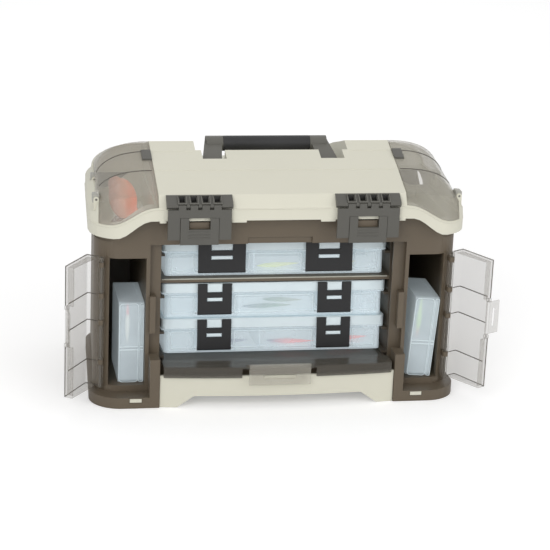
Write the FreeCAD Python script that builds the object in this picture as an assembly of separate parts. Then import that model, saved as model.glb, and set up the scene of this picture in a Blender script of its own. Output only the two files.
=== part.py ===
"""Fishing tackle cabinet: a hard case with a rear-hinged lid, three boxes on tilted racks,
two end bays with small boxes, smoked doors and hatches, and a sliding front door.

Millimetres. X to the right, Y to the back, Z up. The origin is the centre of the case's
footprint on the ground. Depths of the front pieces are counted back from the case's front
plane by fy(), so a negative depth stands proud of that plane.
"""
import FreeCAD
import Part
import math
import os
from FreeCAD import Vector

# Utility boxes; the middle of the case takes its size from them
box_width = 279.0
box_depth = 184.0
box_height = 43.5
box_wall = 1.6
box_side_inset = 4.0
box_front_inset = 3.0
box_flange_z = 29.5
box_flange_thick = 1.8
box_flange_inset = 0.4
box_corner_r = 6.0
divider_thick = 1.4
box_latch_in = 65.0
box_latch_half = 21.0
top_latch_in = 73.0
top_latch_half = 29.2
box_latch_thick = 2.4
box_latch_gap = 0.9
box_latch_top = 43.0
box_latch_axis_z = 6.0
box_latch_barrel_r = 2.3
box_latch_pin_r = 1.2
box_lug_thick = 2.4
latch_notch_share = 0.46
latch_notch_depth = 11.0
latch_slot_share = 0.48
latch_slot_height = 5.0

# Walls and the gaps between pieces
wall = 3.0
skin = 2.5
cut_over = 1.0
clear = 0.4
touch_gap = 0.3
pin_clear = 0.05

# Racks, tilted back about a line at the front of the lowest box
rack_tilt = 5.0
rack_front_d = 18.0
rack_back_room = 16.0
lower_box_z = 54.0
box_gap = 1.5
shelf_gap = 9.0
rail_reach = 3.1
rail_thick = 3.0
rail_drop = 0.3
rack_plate_top = 43.0
rack_plate_low = 14.0
rack_spacer = 11.0
rack_front_reach = 4.0
shelf_thick = 4.0
shelf_drop = 2.0
shelf_lip = 5.0

# Case: a centre bay with a rebate for the front door, and an end bay on each side
box_side_room = 3.5
rebate_reach = 14.0
divider_reach = 18.5
end_bay_width = 44.1
end_wall_reach = 17.4
end_taper_share = 0.06
case_corner_r = 30.0
bay_floor_z = 21.0
bay_sill_z = 45.0
bay_head_room = 5.0
end_bay_drop = 16.6
rebate_depth = 8.0
frame_thick = 12.0
end_frame_thick = 14.0
grip_recess_half = 39.5
grip_recess_height = 8.0
grip_recess_depth = 5.0
pillar_foot_width = 12.1
pillar_foot_top_z = 62.0
catch_strip_width = 7.0
catch_strip_proud = 4.0
catch_strip_low_z = 89.0
catch_strip_high_z = 136.0

# Bumper round the foot of the case, and the cream base between its ends
bumper_proud = 24.0
bumper_side_proud = 6.0
bumper_back_proud = 4.0
bumper_height = 13.6
bumper_corner_r = 38.0
base_reach = 2.0
apron_top_z = 41.0
apron_bow = 8.0
apron_bow_setback = 2.0
apron_thick = 3.5
foot_width = 19.3
arch_height = 14.8
arch_depth = 60.0
arch_slope_run = 22.0
tray_height = 17.6
tab_half = 7.2
tab_height = 4.6
tab_z = 9.9
tab_reach = 29.2
tab_window_clear = 0.5
tab_arm_thick = 3.0
base_screw_r = 3.5
base_screw_head = 2.5
base_screw_inset = 22.0

# Lower edge of the lid: level in front, dropping in a smooth curve to the corners
lid_room = 32.0
edge_drop = 22.0
edge_drop_start = 65.5
edge_drop_end = 22.0
lip_drop_start = 71.0
lip_drop_end = 13.0
edge_steps = 8
drop_back_in = 22.0
drop_back_run = 32.0
rim_rise = 9.0
rim_clear = 1.5

# Lid: each run leads back from the one before it, and each rise lifts it
lid_side_over = 9.0
lid_front_over = 18.0
lid_back_over = 8.0
lid_corner_r = 45.0
lip_height = 15.0
band_run = 10.0
band_rise = 14.5
low_run = 48.0
low_rise = 16.5
high_run = 42.0
high_rise = 12.5
crest_rise = 7.0
end_band_rise = 3.0
end_low_rise = 8.0
end_high_rise = 12.0
end_crest_rise = 13.0
shoulder_reach = 7.0
shoulder_end = 9.0
shoulder_power_share = 2.4
shoulder_fall_share = 0.86
band_corner_share = 0.8
low_corner_share = 0.3
lip_inner_share = 0.3
end_shares = (0.35, 0.62, 0.82, 0.94, 1.0)
ledge_shares = (0.6, 0.25, 0.0)
case_gap = 1.0
rim_end_in = 15.0

# Handle and its channel in the lid
channel_half = 95.0
channel_front_d = 84.0
channel_front_rise = 25.0
channel_back_rise = 13.5
notch_in = 58.5
notch_out = 88.0
notch_front_d = 65.0
notch_floor_rise = 27.0
pivot_d = 80.0
pivot_rise = 37.0
handle_reach = 51.6
handle_lean = 21.6
arm_in = 62.0
arm_out = 87.0
arm_top_in = 55.0
arm_top_out = 76.0
arm_thick = 9.0
hub_r = 7.0
handle_pin_r = 3.0
grip_r = 9.6
grip_core_r = 5.0

# Front latches
latch_in = 41.0
latch_half = 38.0
latch_thick = 3.0
latch_gap = 2.5
latch_top_rise = 18.5
latch_low_drop = 22.0
latch_pin_r = 1.5
latch_barrel_r = 3.0
latch_knuckles = 4
knuckle_length = 9.0
knuckle_pitch = 14.0
block_half = 39.5
block_rise = 14.5
block_hole = 6.5
block_hole_depth = 5.0
tab_leg_half = 23.0
tab_leg_rise = 5.0
tab_window_half = 12.8
tab_window_drop = 9.0
tab_low_drop = 28.0
tab_proud = 0.6
tab_back = 0.6
tab_ribs = 3
tab_rib_pitch = 4.0
lug_half = 11.8
lug_low_drop = 13.0
lug_high_drop = 1.5
lug_proud = 19.0

# Hatches at the lid's ends, and their wells
hatch_gap = 0.4
hatch_back_in = 58.0
hatch_rise = 1.5
hatch_side_in = 12.5
hatch_cheek_depth = 8.0
hatch_hinge_rise = 19.0
hatch_hinge_in = 9.5
hatch_knuckle_r = 3.2
hatch_knuckle_length = 10.0
hatch_lug_length = 4.0
hatch_pin_r = 1.5
hatch_hinge_places = (20.0, 106.0)
ledge_thick = 2.5
well_side_in = 9.0
well_clear = 3.0
well_front_d = 9.0
well_back_in = 4.0
clasp_width = 12.0
clasp_length = 20.0
clasp_d = 62.0
clasp_rise = 2.5

# Lid hinge
lid_pin_proud = 13.0
lid_pin_rise = 3.0
lid_pin_r = 2.0
lid_barrel_r = 4.0
lid_knuckle_length = 26.0
lid_knuckle_in = 23.0
lid_gap_under = 1.0

# Side doors
door_hinge_in = 7.5
door_hinge_proud = -1.5
door_pin_r = 1.5
door_barrel_r = 3.4
door_skin = 2.5
door_face_proud = 20.0
door_free_reach = 3.5
door_low_z = 19.5
door_top_over = 2.1
door_lip = 11.0
door_rim_depth = 15.0
left_door_open = 123.0
right_door_open = 120.0
door_lug_height = 6.0
door_lug_zs = (52.0, 103.0, 137.0, 176.0)
door_notch_low_z = 84.0
door_notch_high_z = 136.0
door_notch_in = 4.0
rib_proud = 1.0
rib_height = 1.6
rib_zs = (52.0, 103.0, 137.0)
flap_low_z = 89.0
flap_high_z = 131.0
flap_length = 18.0
flap_thick = 2.0
flap_axis_in = 1.6
flap_pin_r = 1.2
flap_slot_width = 4.2
flap_slot_height = 24.0
flap_slot_in = 8.5
left_flap_turn = 38.0
right_flap_turn = 87.0

# Front door, stowed under the racks
front_door_room = 3.5
front_door_depth = 150.0
front_door_skin = 2.5
front_door_drop = 7.0
front_lip_low_z = 39.5
front_lip_high_z = 53.5
front_lip_gap = 0.8
front_lip_in = 4.0
front_notch_half = 46.0
front_flap_half = 38.0
front_flap_low_z = 31.0
front_flap_pin_z = 54.0
front_flap_pin_r = 1.2
front_flap_slot_half = 19.5
front_flap_slot_height = 5.0
front_flap_slot_z = 42.0
track_height = 3.0

# Small boxes in the end bays
small_width = 31.0
small_depth = 82.0
small_height = 103.0
small_wall = 1.4
small_lid = 6.0
small_corner_r = 5.0
small_divider_share = 0.44
left_small_gap = 0.5
left_small_d = 8.0
right_small_gap = 5.6
right_small_d = 4.0
right_small_lean = 4.0

# Lures that lie in the boxes
lure_r = 5.5
lure_length = 62.0
lure_flat_share = 0.55
lure_form_shares = ((0.0, 0.16), (0.16, 0.72), (0.42, 1.0), (0.72, 0.66), (1.0, 0.12))
hatch_lure_r = 11.0
hatch_lure_length = 74.0
hatch_lure_d = 62.0
hatch_lure_turn = 62.0
small_lure_share = 0.5
small_lure_depth_share = 0.22

# Places worked out from the sizes above
bay_half = box_width / 2 + box_side_room
rebate_half = bay_half + rebate_reach
divider_out = bay_half + divider_reach
end_bay_out = divider_out + end_bay_width
case_half = end_bay_out + end_wall_reach
case_depth = rack_front_d + box_depth + rack_back_room
inner_depth = case_depth - wall
front_y = -case_depth / 2
back_y = case_depth / 2
middle_box_z = lower_box_z + box_height + box_gap
top_box_z = middle_box_z + box_height + shelf_gap
level_zs = (lower_box_z, middle_box_z, top_box_z)
bay_top_z = top_box_z + box_height + bay_head_room
deck_z = bay_top_z + wall
end_bay_top_z = bay_top_z - end_bay_drop
edge_z = deck_z + lid_room
case_top = edge_z + rim_rise
base_half = bay_half + base_reach
pillar_foot_in = base_half + clear
pillar_foot_out = pillar_foot_in + pillar_foot_width
catch_strip_in = rebate_half - catch_strip_width
tab_x = base_half + tab_reach
lid_half = case_half + lid_side_over
shoulder_x = bay_half + shoulder_reach
drop_back_d = case_depth - drop_back_in
channel_front_z = edge_z + channel_front_rise
channel_back_z = edge_z + channel_back_rise
notch_floor_z = edge_z + notch_floor_rise
pivot_z = edge_z + pivot_rise
latch_x = bay_half - latch_in
latch_top_z = edge_z + latch_top_rise
latch_low_z = edge_z - latch_low_drop
tab_leg_top_z = edge_z + tab_leg_rise
tab_window_low_z = edge_z - tab_window_drop
tab_low_z = edge_z - tab_low_drop
lug_low_z = edge_z - lug_low_drop
lug_high_z = edge_z - lug_high_drop
hatch_back_d = case_depth - hatch_back_in
hatch_hinge_z = edge_z + hatch_hinge_rise
well_in = shoulder_x + skin
well_out = case_half - well_side_in
well_back_d = hatch_back_d - well_back_in
well_floor_z = deck_z + wall
lid_pin_d = case_depth + lid_pin_proud
lid_pin_z = edge_z + lid_pin_rise
lid_knuckle_x = bay_half - lid_knuckle_in
lid_knuckle_xs = (-lid_knuckle_x, 0, lid_knuckle_x)
door_hinge_x = case_half - door_hinge_in
door_free_x = divider_out + door_free_reach
door_high_z = end_bay_top_z + door_top_over
rail_in = box_width / 2 - rail_reach
front_door_half = bay_half - front_door_room
front_lip_half = base_half - front_lip_in
box_latch_x = box_width / 2 - box_latch_in
top_latch_x = box_width / 2 - top_latch_in
left_small_x = -divider_out - left_small_gap - small_width
right_small_x = divider_out + right_small_gap
far = case_half * 2


def fy(depth):
    """Y of a place that lies this far behind the case's front plane."""
    return front_y + depth


def box(x0, x1, y0, y1, z0, z1):
    return Part.makeBox(x1 - x0, y1 - y0, z1 - z0, Vector(x0, y0, z0))


def rod_x(x0, x1, y, z, r):
    return Part.makeCylinder(r, x1 - x0, Vector(x0, y, z), Vector(1, 0, 0))


def rod_y(x, y0, y1, z, r):
    return Part.makeCylinder(r, y1 - y0, Vector(x, y0, z), Vector(0, 1, 0))


def rod_z(x, y, z0, z1, r):
    return Part.makeCylinder(r, z1 - z0, Vector(x, y, z0), Vector(0, 0, 1))


def prism_x(points, x0, x1):
    """A YZ outline carried along X."""
    wire = Part.makePolygon([Vector(x0, y, z) for y, z in points + points[:1]])
    return Part.Face(wire).extrude(Vector(x1 - x0, 0, 0))


def prism_y(points, y0, y1):
    """An XZ outline carried along Y."""
    wire = Part.makePolygon([Vector(x, y0, z) for x, z in points + points[:1]])
    return Part.Face(wire).extrude(Vector(0, y1 - y0, 0))


def prism_z(points, z0, z1):
    """An XY outline carried along Z."""
    wire = Part.makePolygon([Vector(x, y, z0) for x, y in points + points[:1]])
    return Part.Face(wire).extrude(Vector(0, 0, z1 - z0))


def plate_z(x0, x1, y0, y1, z0, z1, r):
    """A block with rounded upright corners."""
    block = box(x0, x1, y0, y1, z0, z1)
    upright = [e for e in block.Edges if abs(e.Vertexes[0].Z - e.Vertexes[1].Z) > (z1 - z0) / 2]
    return block.makeFillet(r, upright)


def beyond(x, z0, z1):
    """All that lies further out than the line that starts at x in front and draws in like the ends."""
    lean = end_taper_share * far
    return prism_z([(x + lean, fy(-far)), (far * 2, fy(-far)), (far * 2, fy(far)), (x - lean, fy(far))],
                   z0, z1)


def plan_block(half, y0, y1, z0, z1, r):
    """A block whose ends draw in towards the back, with rounded upright corners."""
    back_half = half - end_taper_share * (y1 - front_y)
    front_half = half - end_taper_share * (y0 - front_y)
    outline = [(-front_half, y0), (front_half, y0), (back_half, y1), (-back_half, y1)]
    block = prism_z(outline, z0, z1)
    upright = [e for e in block.Edges if abs(e.Vertexes[0].Z - e.Vertexes[1].Z) > (z1 - z0) / 2]
    return block.makeFillet(r, upright)


def mirror(shape):
    return shape.mirror(Vector(0, 0, 0), Vector(1, 0, 0))


def turned(shape, place, axis, angle):
    copy = shape.copy()
    copy.rotate(place, axis, angle)
    return copy


def fused(shapes):
    return shapes[0].multiFuse(shapes[1:]).removeSplitter()


def drop_share(x, begin, end):
    """Smooth share, from 0 to 1, of a drop that begins and ends this far in from the case's end."""
    share = min(max((abs(x) - case_half + begin) / (begin - end), 0), 1)
    return (1 - math.cos(math.pi * share)) / 2


def edge_drop_at(x):
    """How far the lid's lower edge has dropped at this distance from the middle."""
    return edge_drop * drop_share(x, edge_drop_start, edge_drop_end)


def lip_drop_at(x):
    """How far the top edge of the lid's lip has dropped."""
    return edge_drop * drop_share(x, lip_drop_start, lip_drop_end)


def spaced_xs(begin, end):
    """Evenly spaced places along one half where a dropping edge is given a point."""
    return [case_half - begin + (begin - end) * i / edge_steps for i in range(edge_steps + 1)]


def above_edge(rise, x_in, x_out, top):
    """Outline, in XZ, of all that lies more than rise above the lid's lower edge."""
    inner = [x for x in spaced_xs(edge_drop_start, edge_drop_end) if x_in < x < x_out]
    xs = [x_in] + inner + [x_out]
    low = [(x, edge_z + rise - edge_drop_at(x)) for x in xs]
    return low + [(x_out, top), (x_in, top)]


def behind_rise(rise, top):
    """All that lies above the lid's lower edge where it climbs again near the back."""
    steps = [i / edge_steps for i in range(edge_steps + 1)]
    curve = [(fy(drop_back_d - drop_back_run + drop_back_run * s),
              edge_z + rise - edge_drop * (1 + math.cos(math.pi * s)) / 2) for s in steps]
    outline = [(fy(-far), curve[0][1])] + curve + [(fy(far), curve[-1][1]), (fy(far), top), (fy(-far), top)]
    return prism_x(outline, -far, far)


def shoulder_share(x, inset):
    """How far the lid's end has rolled over: 0 at the shoulder, 1 at the end face.

    The top rolls down to a narrow ledge, which then slopes gently out to the end face.
    """
    ledge_x = lid_half - inset - shoulder_end
    if abs(x) > ledge_x:
        out = (abs(x) - ledge_x) / shoulder_end
        return shoulder_fall_share + (1 - shoulder_fall_share) * min(out, 1)
    share = max((abs(x) - shoulder_x) / (ledge_x - shoulder_x), 0)
    power = shoulder_power_share
    return shoulder_fall_share * (1 - (1 - share ** power) ** (1 / power))


def corner_setback(x, inset):
    """How far the rounded corner of the lid's plan has drawn its front edge back."""
    r = lid_corner_r - inset
    into = max(abs(x) - (lid_half - lid_corner_r), 0)
    return r - math.sqrt(max(r * r - into * into, 0))


def lid_section(x, inset, low_rise_z):
    """The lid's outline in YZ at one place along X, drawn in by inset."""
    u = shoulder_share(x, inset)
    c = corner_setback(x, inset)
    drop = edge_drop_at(x)
    lip_z = edge_z + lip_height
    band_z = lip_z + band_rise
    low_z = band_z + low_rise
    high_z = low_z + high_rise
    front_d = -lid_front_over
    back_d = case_depth + lid_back_over
    end_rises = (end_band_rise, end_low_rise, end_high_rise, end_crest_rise)
    tops = [mid + (edge_z + end - mid) * u - inset
            for mid, end in zip((band_z, low_z, high_z, high_z + crest_rise), end_rises)]
    rows = [
        (0, edge_z + low_rise_z - drop, 1, 1),
        (0, lip_z - lip_drop_at(x) - inset * lip_inner_share, 1, 1),
        (band_run, tops[0], band_corner_share, 1),
        (band_run + low_run, tops[1], low_corner_share, 0),
        (band_run + low_run + high_run, tops[2], 0, 0),
    ]
    front = [(fy(front_d + run + c * share + inset * inward), z) for run, z, share, inward in rows]
    back = [(fy(back_d - run - c * share - inset * inward), z) for run, z, share, inward in rows]
    crest = [(fy((front_d + back_d) / 2), tops[3])]
    return front + crest + back[::-1]


def lid_body(inset, low_rise_z):
    """The lid's outer form, or with an inset the hollow under its skin."""
    end = lid_half - inset
    ledge_x = end - shoulder_end
    middle = prism_x(lid_section(0, inset, low_rise_z), -shoulder_x, shoulder_x)
    stations = [shoulder_x] + spaced_xs(lip_drop_start, lip_drop_end)[1:-1]
    last = stations[-1]
    stations += [last + (ledge_x - last) * s for s in end_shares]
    stations += [end - shoulder_end * s for s in ledge_shares]
    wires = []
    for x in stations:
        draw_in = end_taper_share * (x - shoulder_x) / (lid_half - shoulder_x)
        points = [Vector(x - draw_in * (y - front_y), y, z) for y, z in lid_section(x, inset, low_rise_z)]
        wires.append(Part.makePolygon(points + points[:1]))
    side = Part.makeLoft(wires, True, True)
    return fused([middle, side, mirror(side)])


def lid_front_d(rise):
    """Depth of the lid's sloping front band at this height over its lip."""
    return -lid_front_over + band_run * rise / band_rise


nodes = {}


def keep(name, shape):
    nodes[name] = shape


# Case, drawn whole and then parted along its own walls
def make_case():
    body = plan_block(case_half, front_y, back_y, bumper_height, case_top, case_corner_r)
    foot = plan_block(case_half + bumper_side_proud, fy(-bumper_proud), back_y + bumper_back_proud,
                      0, bumper_height, bumper_corner_r)
    case = body.fuse(foot)
    drop = prism_y(above_edge(rim_rise, case_half - edge_drop_start, far, case_top + cut_over),
                   fy(-far), fy(far))
    drop = drop.common(behind_rise(rim_rise, case_top + cut_over))
    case = case.cut(drop).cut(mirror(drop))
    inner_end = case_half - wall
    cuts = [
        box(-bay_half, bay_half, front_y - cut_over, fy(inner_depth), bay_sill_z, bay_top_z),
        box(-rebate_half, rebate_half, front_y - cut_over, fy(rebate_depth), bay_sill_z, bay_top_z),
        box(-divider_out + wall, divider_out - wall, fy(frame_thick), fy(inner_depth),
            bay_floor_z, bay_top_z),
        box(-grip_recess_half, grip_recess_half, front_y - cut_over, fy(grip_recess_depth),
            bay_top_z - cut_over, bay_top_z + grip_recess_height),
        plan_block(inner_end, fy(wall), fy(inner_depth), deck_z, case_top + cut_over,
                   case_corner_r - wall),
        box(-base_half - clear, base_half + clear, fy(-far), fy(inner_depth),
            -cut_over, bay_floor_z - wall),
        box(-base_half - clear, base_half + clear, fy(-far), front_y, -cut_over, apron_top_z + far),
    ]
    inside = plan_block(inner_end, fy(wall), fy(inner_depth - case_corner_r), -cut_over, case_top, touch_gap)
    for side in (1, -1):
        lows, highs = sorted((side * divider_out, side * end_bay_out))
        cuts.append(box(lows, highs, front_y - cut_over, fy(end_frame_thick), bay_floor_z, end_bay_top_z))
        lows, highs = sorted((side * divider_out, side * inner_end))
        cuts.append(box(lows, highs, fy(end_frame_thick), fy(inner_depth - case_corner_r),
                        bay_floor_z, end_bay_top_z).common(inside))
        cuts.append(box(lows, highs, fy(end_frame_thick), fy(inner_depth - case_corner_r),
                        end_bay_top_z + wall, deck_z + cut_over).common(inside))
        under_in = base_half + clear + wall
        under_out = case_half + bumper_side_proud - wall
        lows, highs = sorted((side * under_in, side * under_out))
        hollow = plan_block(under_out, fy(wall - bumper_proud), back_y, -cut_over,
                            bumper_height - wall, bumper_corner_r - wall)
        cuts.append(hollow.common(box(lows, highs, fy(-far), fy(far), -cut_over, bumper_height)))
        cuts.append(box(lows, highs, fy(wall), fy(inner_depth - case_corner_r),
                        -cut_over, bay_floor_z - wall).common(inside))
        window_half = tab_half + tab_window_clear
        window_height = tab_height / 2 + tab_window_clear
        cuts.append(box(side * tab_x - window_half, side * tab_x + window_half,
                        fy(-bumper_proud - cut_over), fy(-bumper_proud + wall + cut_over),
                        tab_z - window_height, tab_z + window_height))
        lows, highs = sorted((side * base_half, side * (under_in + cut_over)))
        cuts.append(box(lows, highs, fy(-bumper_proud + wall), fy(-bumper_proud + wall + tab_arm_thick * 2),
                        -cut_over, bumper_height - wall))
    for piece in cuts:
        case = case.cut(piece)
    adds = []
    for side in (1, -1):
        lows, highs = sorted((side * pillar_foot_in, side * pillar_foot_out))
        adds.append(box(lows, highs, fy(-bumper_proud), front_y, bumper_height - wall, pillar_foot_top_z))
        lows, highs = sorted((side * catch_strip_in, side * rebate_half))
        adds.append(box(lows, highs, fy(-catch_strip_proud), fy(rebate_depth),
                        catch_strip_low_z, catch_strip_high_z))
        adds.append(box(side * latch_x - lug_half, side * latch_x + lug_half,
                        fy(-lug_proud), front_y, lug_low_z, lug_high_z))
        adds += [door_lug(side, z) for z in door_lug_zs]
    for x in lid_knuckle_xs:
        adds.append(case_knuckle(x))
    return fused([case] + adds)


def parted_case():
    """The case as foot, front frame, inner floors with their dividers, and outer shell."""
    case = make_case()
    inner_end = case_half - wall
    foot_zone = box(-far, far, fy(-far), fy(far), -cut_over, bumper_height)
    front_zone = box(-far, far, fy(-far), fy(end_frame_thick), bumper_height, far)
    floor_zone = plan_block(inner_end, fy(wall), fy(inner_depth), bumper_height, deck_z, touch_gap)
    behind = case.cut(foot_zone).cut(front_zone)
    return case.common(foot_zone), case.common(front_zone), behind.common(floor_zone), behind.cut(floor_zone)


def door_lug(side, z):
    """An ear of the case's corner that carries a side door's pin."""
    x = side * door_hinge_x
    low = z - door_lug_height / 2
    high = z + door_lug_height / 2
    barrel = rod_z(x, fy(-door_hinge_proud), low, high, door_barrel_r)
    in_x, out_x = sorted((x - side * door_barrel_r, x))
    web = box(in_x, out_x, fy(-door_hinge_proud), fy(end_frame_thick), low, high)
    hole = rod_z(x, fy(-door_hinge_proud), low - cut_over, high + cut_over, door_pin_r)
    return barrel.fuse(web).cut(hole)


def case_knuckle(x):
    """A barrel behind the case that carries the lid's hinge pin."""
    half = lid_knuckle_length / 2
    y = fy(lid_pin_d)
    barrel = rod_x(x - half, x + half, y, lid_pin_z, lid_barrel_r)
    under = edge_z - lid_gap_under
    arm = prism_x([(back_y, under), (back_y, under - 3 * lid_barrel_r), (y, under - lid_barrel_r),
                   (y + lid_barrel_r, under), (y + lid_barrel_r, lid_pin_z),
                   (y - lid_barrel_r, lid_pin_z), (y - lid_barrel_r, under)], x - half, x + half)
    hole = rod_x(x - half - cut_over, x + half + cut_over, y, lid_pin_z, lid_pin_r)
    return barrel.fuse(arm).cut(hole)


def make_base():
    """Cream tray under the case, with the bowed apron, its feet and the side tabs."""
    tray = box(-base_half, base_half, fy(apron_bow_setback - bumper_proud), fy(inner_depth - clear),
               0, tray_height)
    hollow = box(-base_half + wall, base_half - wall, fy(arch_depth - bumper_proud),
                 fy(inner_depth - clear - wall), wall, tray_height + cut_over)
    apron = bowed_wall(base_half, apron_bow_setback, apron_thick, 0, apron_top_z)
    body = tray.cut(hollow).fuse(apron)
    arch_half = base_half - foot_width - arch_slope_run
    arch = [(-arch_half - arch_slope_run, -cut_over), (arch_half + arch_slope_run, -cut_over),
            (arch_half, arch_height), (-arch_half, arch_height)]
    body = body.cut(prism_y(arch, fy(-far), fy(arch_depth - bumper_proud)))
    arms = []
    for side in (1, -1):
        lows, highs = sorted((side * (base_half - wall), side * (tab_x + tab_half + wall)))
        y0 = fy(-bumper_proud + wall + touch_gap)
        arms.append(box(lows, highs, y0, y0 + tab_arm_thick, wall, bumper_height - wall - clear))
        arms.append(box(side * tab_x - tab_half, side * tab_x + tab_half, fy(-bumper_proud), y0,
                        tab_z - tab_height / 2, tab_z + tab_height / 2))
    return fused([body] + arms)


def bowed_wall(half, setback, thick, z0, z1):
    """An upright wall that bows forward between its ends."""
    y_end = fy(setback - bumper_proud)
    outer = Part.Arc(Vector(-half, y_end, z0), Vector(0, y_end - apron_bow, z0), Vector(half, y_end, z0))
    inner = Part.Arc(Vector(half, y_end + thick, z0), Vector(0, y_end + thick - apron_bow, z0),
                     Vector(-half, y_end + thick, z0))
    wire = Part.Wire([outer.toShape(),
                      Part.makeLine(Vector(half, y_end, z0), Vector(half, y_end + thick, z0)),
                      inner.toShape(),
                      Part.makeLine(Vector(-half, y_end + thick, z0), Vector(-half, y_end, z0))])
    return Part.Face(wire).extrude(Vector(0, 0, z1 - z0))


def make_base_screws():
    """Four screws that hold the base tray to the case floor."""
    screws = []
    for x in (-base_half + base_screw_inset, base_half - base_screw_inset):
        for d in (arch_depth + base_screw_inset, inner_depth - base_screw_inset * 2):
            head = rod_z(x, fy(d), wall, wall + base_screw_head, base_screw_r)
            shank = rod_z(x, fy(d), wall + base_screw_head, bay_floor_z - wall, base_screw_r / 2)
            screws.append(head.fuse(shank))
    return Part.makeCompound(screws)


# Racks, drawn level and then tilted back
def tilted(shape):
    place = Vector(0, fy(rack_front_d), level_zs[0])
    return turned(shape, place, Vector(1, 0, 0), -rack_tilt)


def make_rack_panel():
    """The right side plate with its three rails, its spacers and the front door's track."""
    y0 = fy(rack_front_d - rack_front_reach)
    y1 = fy(rack_front_d + box_depth)
    low = level_zs[0] - rack_plate_low
    high = level_zs[-1] + rack_plate_top
    parts = [box(bay_half, bay_half + wall, y0, y1, low, high)]
    for level in level_zs:
        top = level + box_flange_z - rail_drop
        parts.append(box(rail_in, bay_half, y0, y1, top - rail_thick, top))
    door_top = level_zs[0] - front_door_drop + front_door_skin
    for z0 in (door_top + clear, door_top - front_door_skin - clear - track_height):
        parts.append(box(rail_in, bay_half, y0, y1, z0, z0 + track_height))
    for d in (rack_spacer, box_depth - rack_spacer * 2):
        y = fy(rack_front_d + d)
        spacer_out = bay_half + wall + rack_spacer
        parts.append(box(bay_half + wall, spacer_out, y, y + wall, low, high - rack_spacer))
    return tilted(fused(parts))


def make_rack_shelf():
    """The shelf between the top box and the two below it."""
    top = level_zs[2] - shelf_drop
    y0 = fy(rack_front_d - rack_front_reach)
    y1 = fy(rack_front_d + box_depth)
    plate = box(-bay_half, bay_half, y0, y1, top - shelf_thick / 2, top)
    lip = box(-bay_half, bay_half, y0, y0 + wall, top - shelf_lip, top)
    return tilted(plate.fuse(lip).removeSplitter())


def front_panel_z():
    return level_zs[0] - front_door_drop


def lip_arc_y(x, setback):
    """Y of the bowed front at this X: the same arc as the base's apron."""
    y_end = fy(setback - bumper_proud)
    r = (base_half * base_half + apron_bow * apron_bow) / (2 * apron_bow)
    return y_end - apron_bow + r - math.sqrt(r * r - x * x)


def make_front_door():
    """Smoked door stowed in its track, with the bowed lip that shows over the apron."""
    z0 = front_panel_z()
    panel = box(-front_door_half, front_door_half, fy(apron_bow_setback - bumper_proud),
                fy(front_door_depth - bumper_proud), z0, z0 + front_door_skin)
    panel = tilted(panel)
    setback = apron_bow_setback - front_lip_gap - front_door_skin
    lip = bowed_wall(base_half, setback, front_door_skin, front_lip_low_z, front_lip_high_z)
    lip = lip.common(box(-front_lip_half, front_lip_half, fy(-far), fy(far), 0, case_top))
    y_mid = lip_arc_y(front_notch_half, setback + front_door_skin)
    notch = box(-front_notch_half, front_notch_half, fy(-far), y_mid + wall,
                0, front_lip_high_z - front_door_skin)
    lip = lip.cut(notch)
    top_z0 = front_lip_high_z - front_door_skin
    roof = bowed_wall(base_half, setback, bumper_proud - apron_bow_setback, top_z0, front_lip_high_z)
    roof = roof.common(box(-front_lip_half, front_lip_half, fy(-far), fy(-clear), 0, case_top))
    roof = roof.common(box(-pillar_foot_in + clear, pillar_foot_in - clear, fy(-far), fy(far), 0, case_top))
    door = fused([panel, lip, roof])
    pin_y = front_flap_y()
    slot = box(-front_flap_half - clear, front_flap_half + clear, fy(-far),
               pin_y + latch_barrel_r, front_flap_low_z, front_lip_high_z + far)
    ears = []
    for side in (1, -1):
        x = side * (front_flap_half + clear + wall / 2)
        ear = rod_x(x - wall / 2, x + wall / 2, pin_y, front_flap_pin_z, latch_barrel_r)
        web = box(x - wall / 2, x + wall / 2, pin_y, pin_y + latch_barrel_r * 2,
                  front_lip_high_z - front_door_skin, front_lip_high_z)
        ears.append(ear.fuse(web))
    door = fused([door.cut(slot)] + ears)
    return door.cut(rod_x(-far, far, pin_y, front_flap_pin_z, front_flap_pin_r + pin_clear))


def front_flap_y():
    """Y of the front flap's pin, just ahead of the lip's roof."""
    return lip_arc_y(0, apron_bow_setback - front_lip_gap - front_door_skin) - touch_gap


def make_front_flap():
    y = front_flap_y()
    z = front_flap_pin_z
    thick = flap_thick
    barrel = rod_x(-front_flap_half, front_flap_half, y, z, latch_barrel_r - pin_clear)
    plate = box(-front_flap_half, front_flap_half, y - latch_barrel_r + pin_clear,
                y - latch_barrel_r + thick, front_flap_low_z, z)
    slot = box(-front_flap_slot_half, front_flap_slot_half, y - far, y + far,
               front_flap_slot_z - front_flap_slot_height / 2,
               front_flap_slot_z + front_flap_slot_height / 2)
    pin = rod_x(-front_flap_half - clear - wall, front_flap_half + clear + wall, y, z, front_flap_pin_r)
    return fused([barrel, plate.cut(slot), pin])


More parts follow.
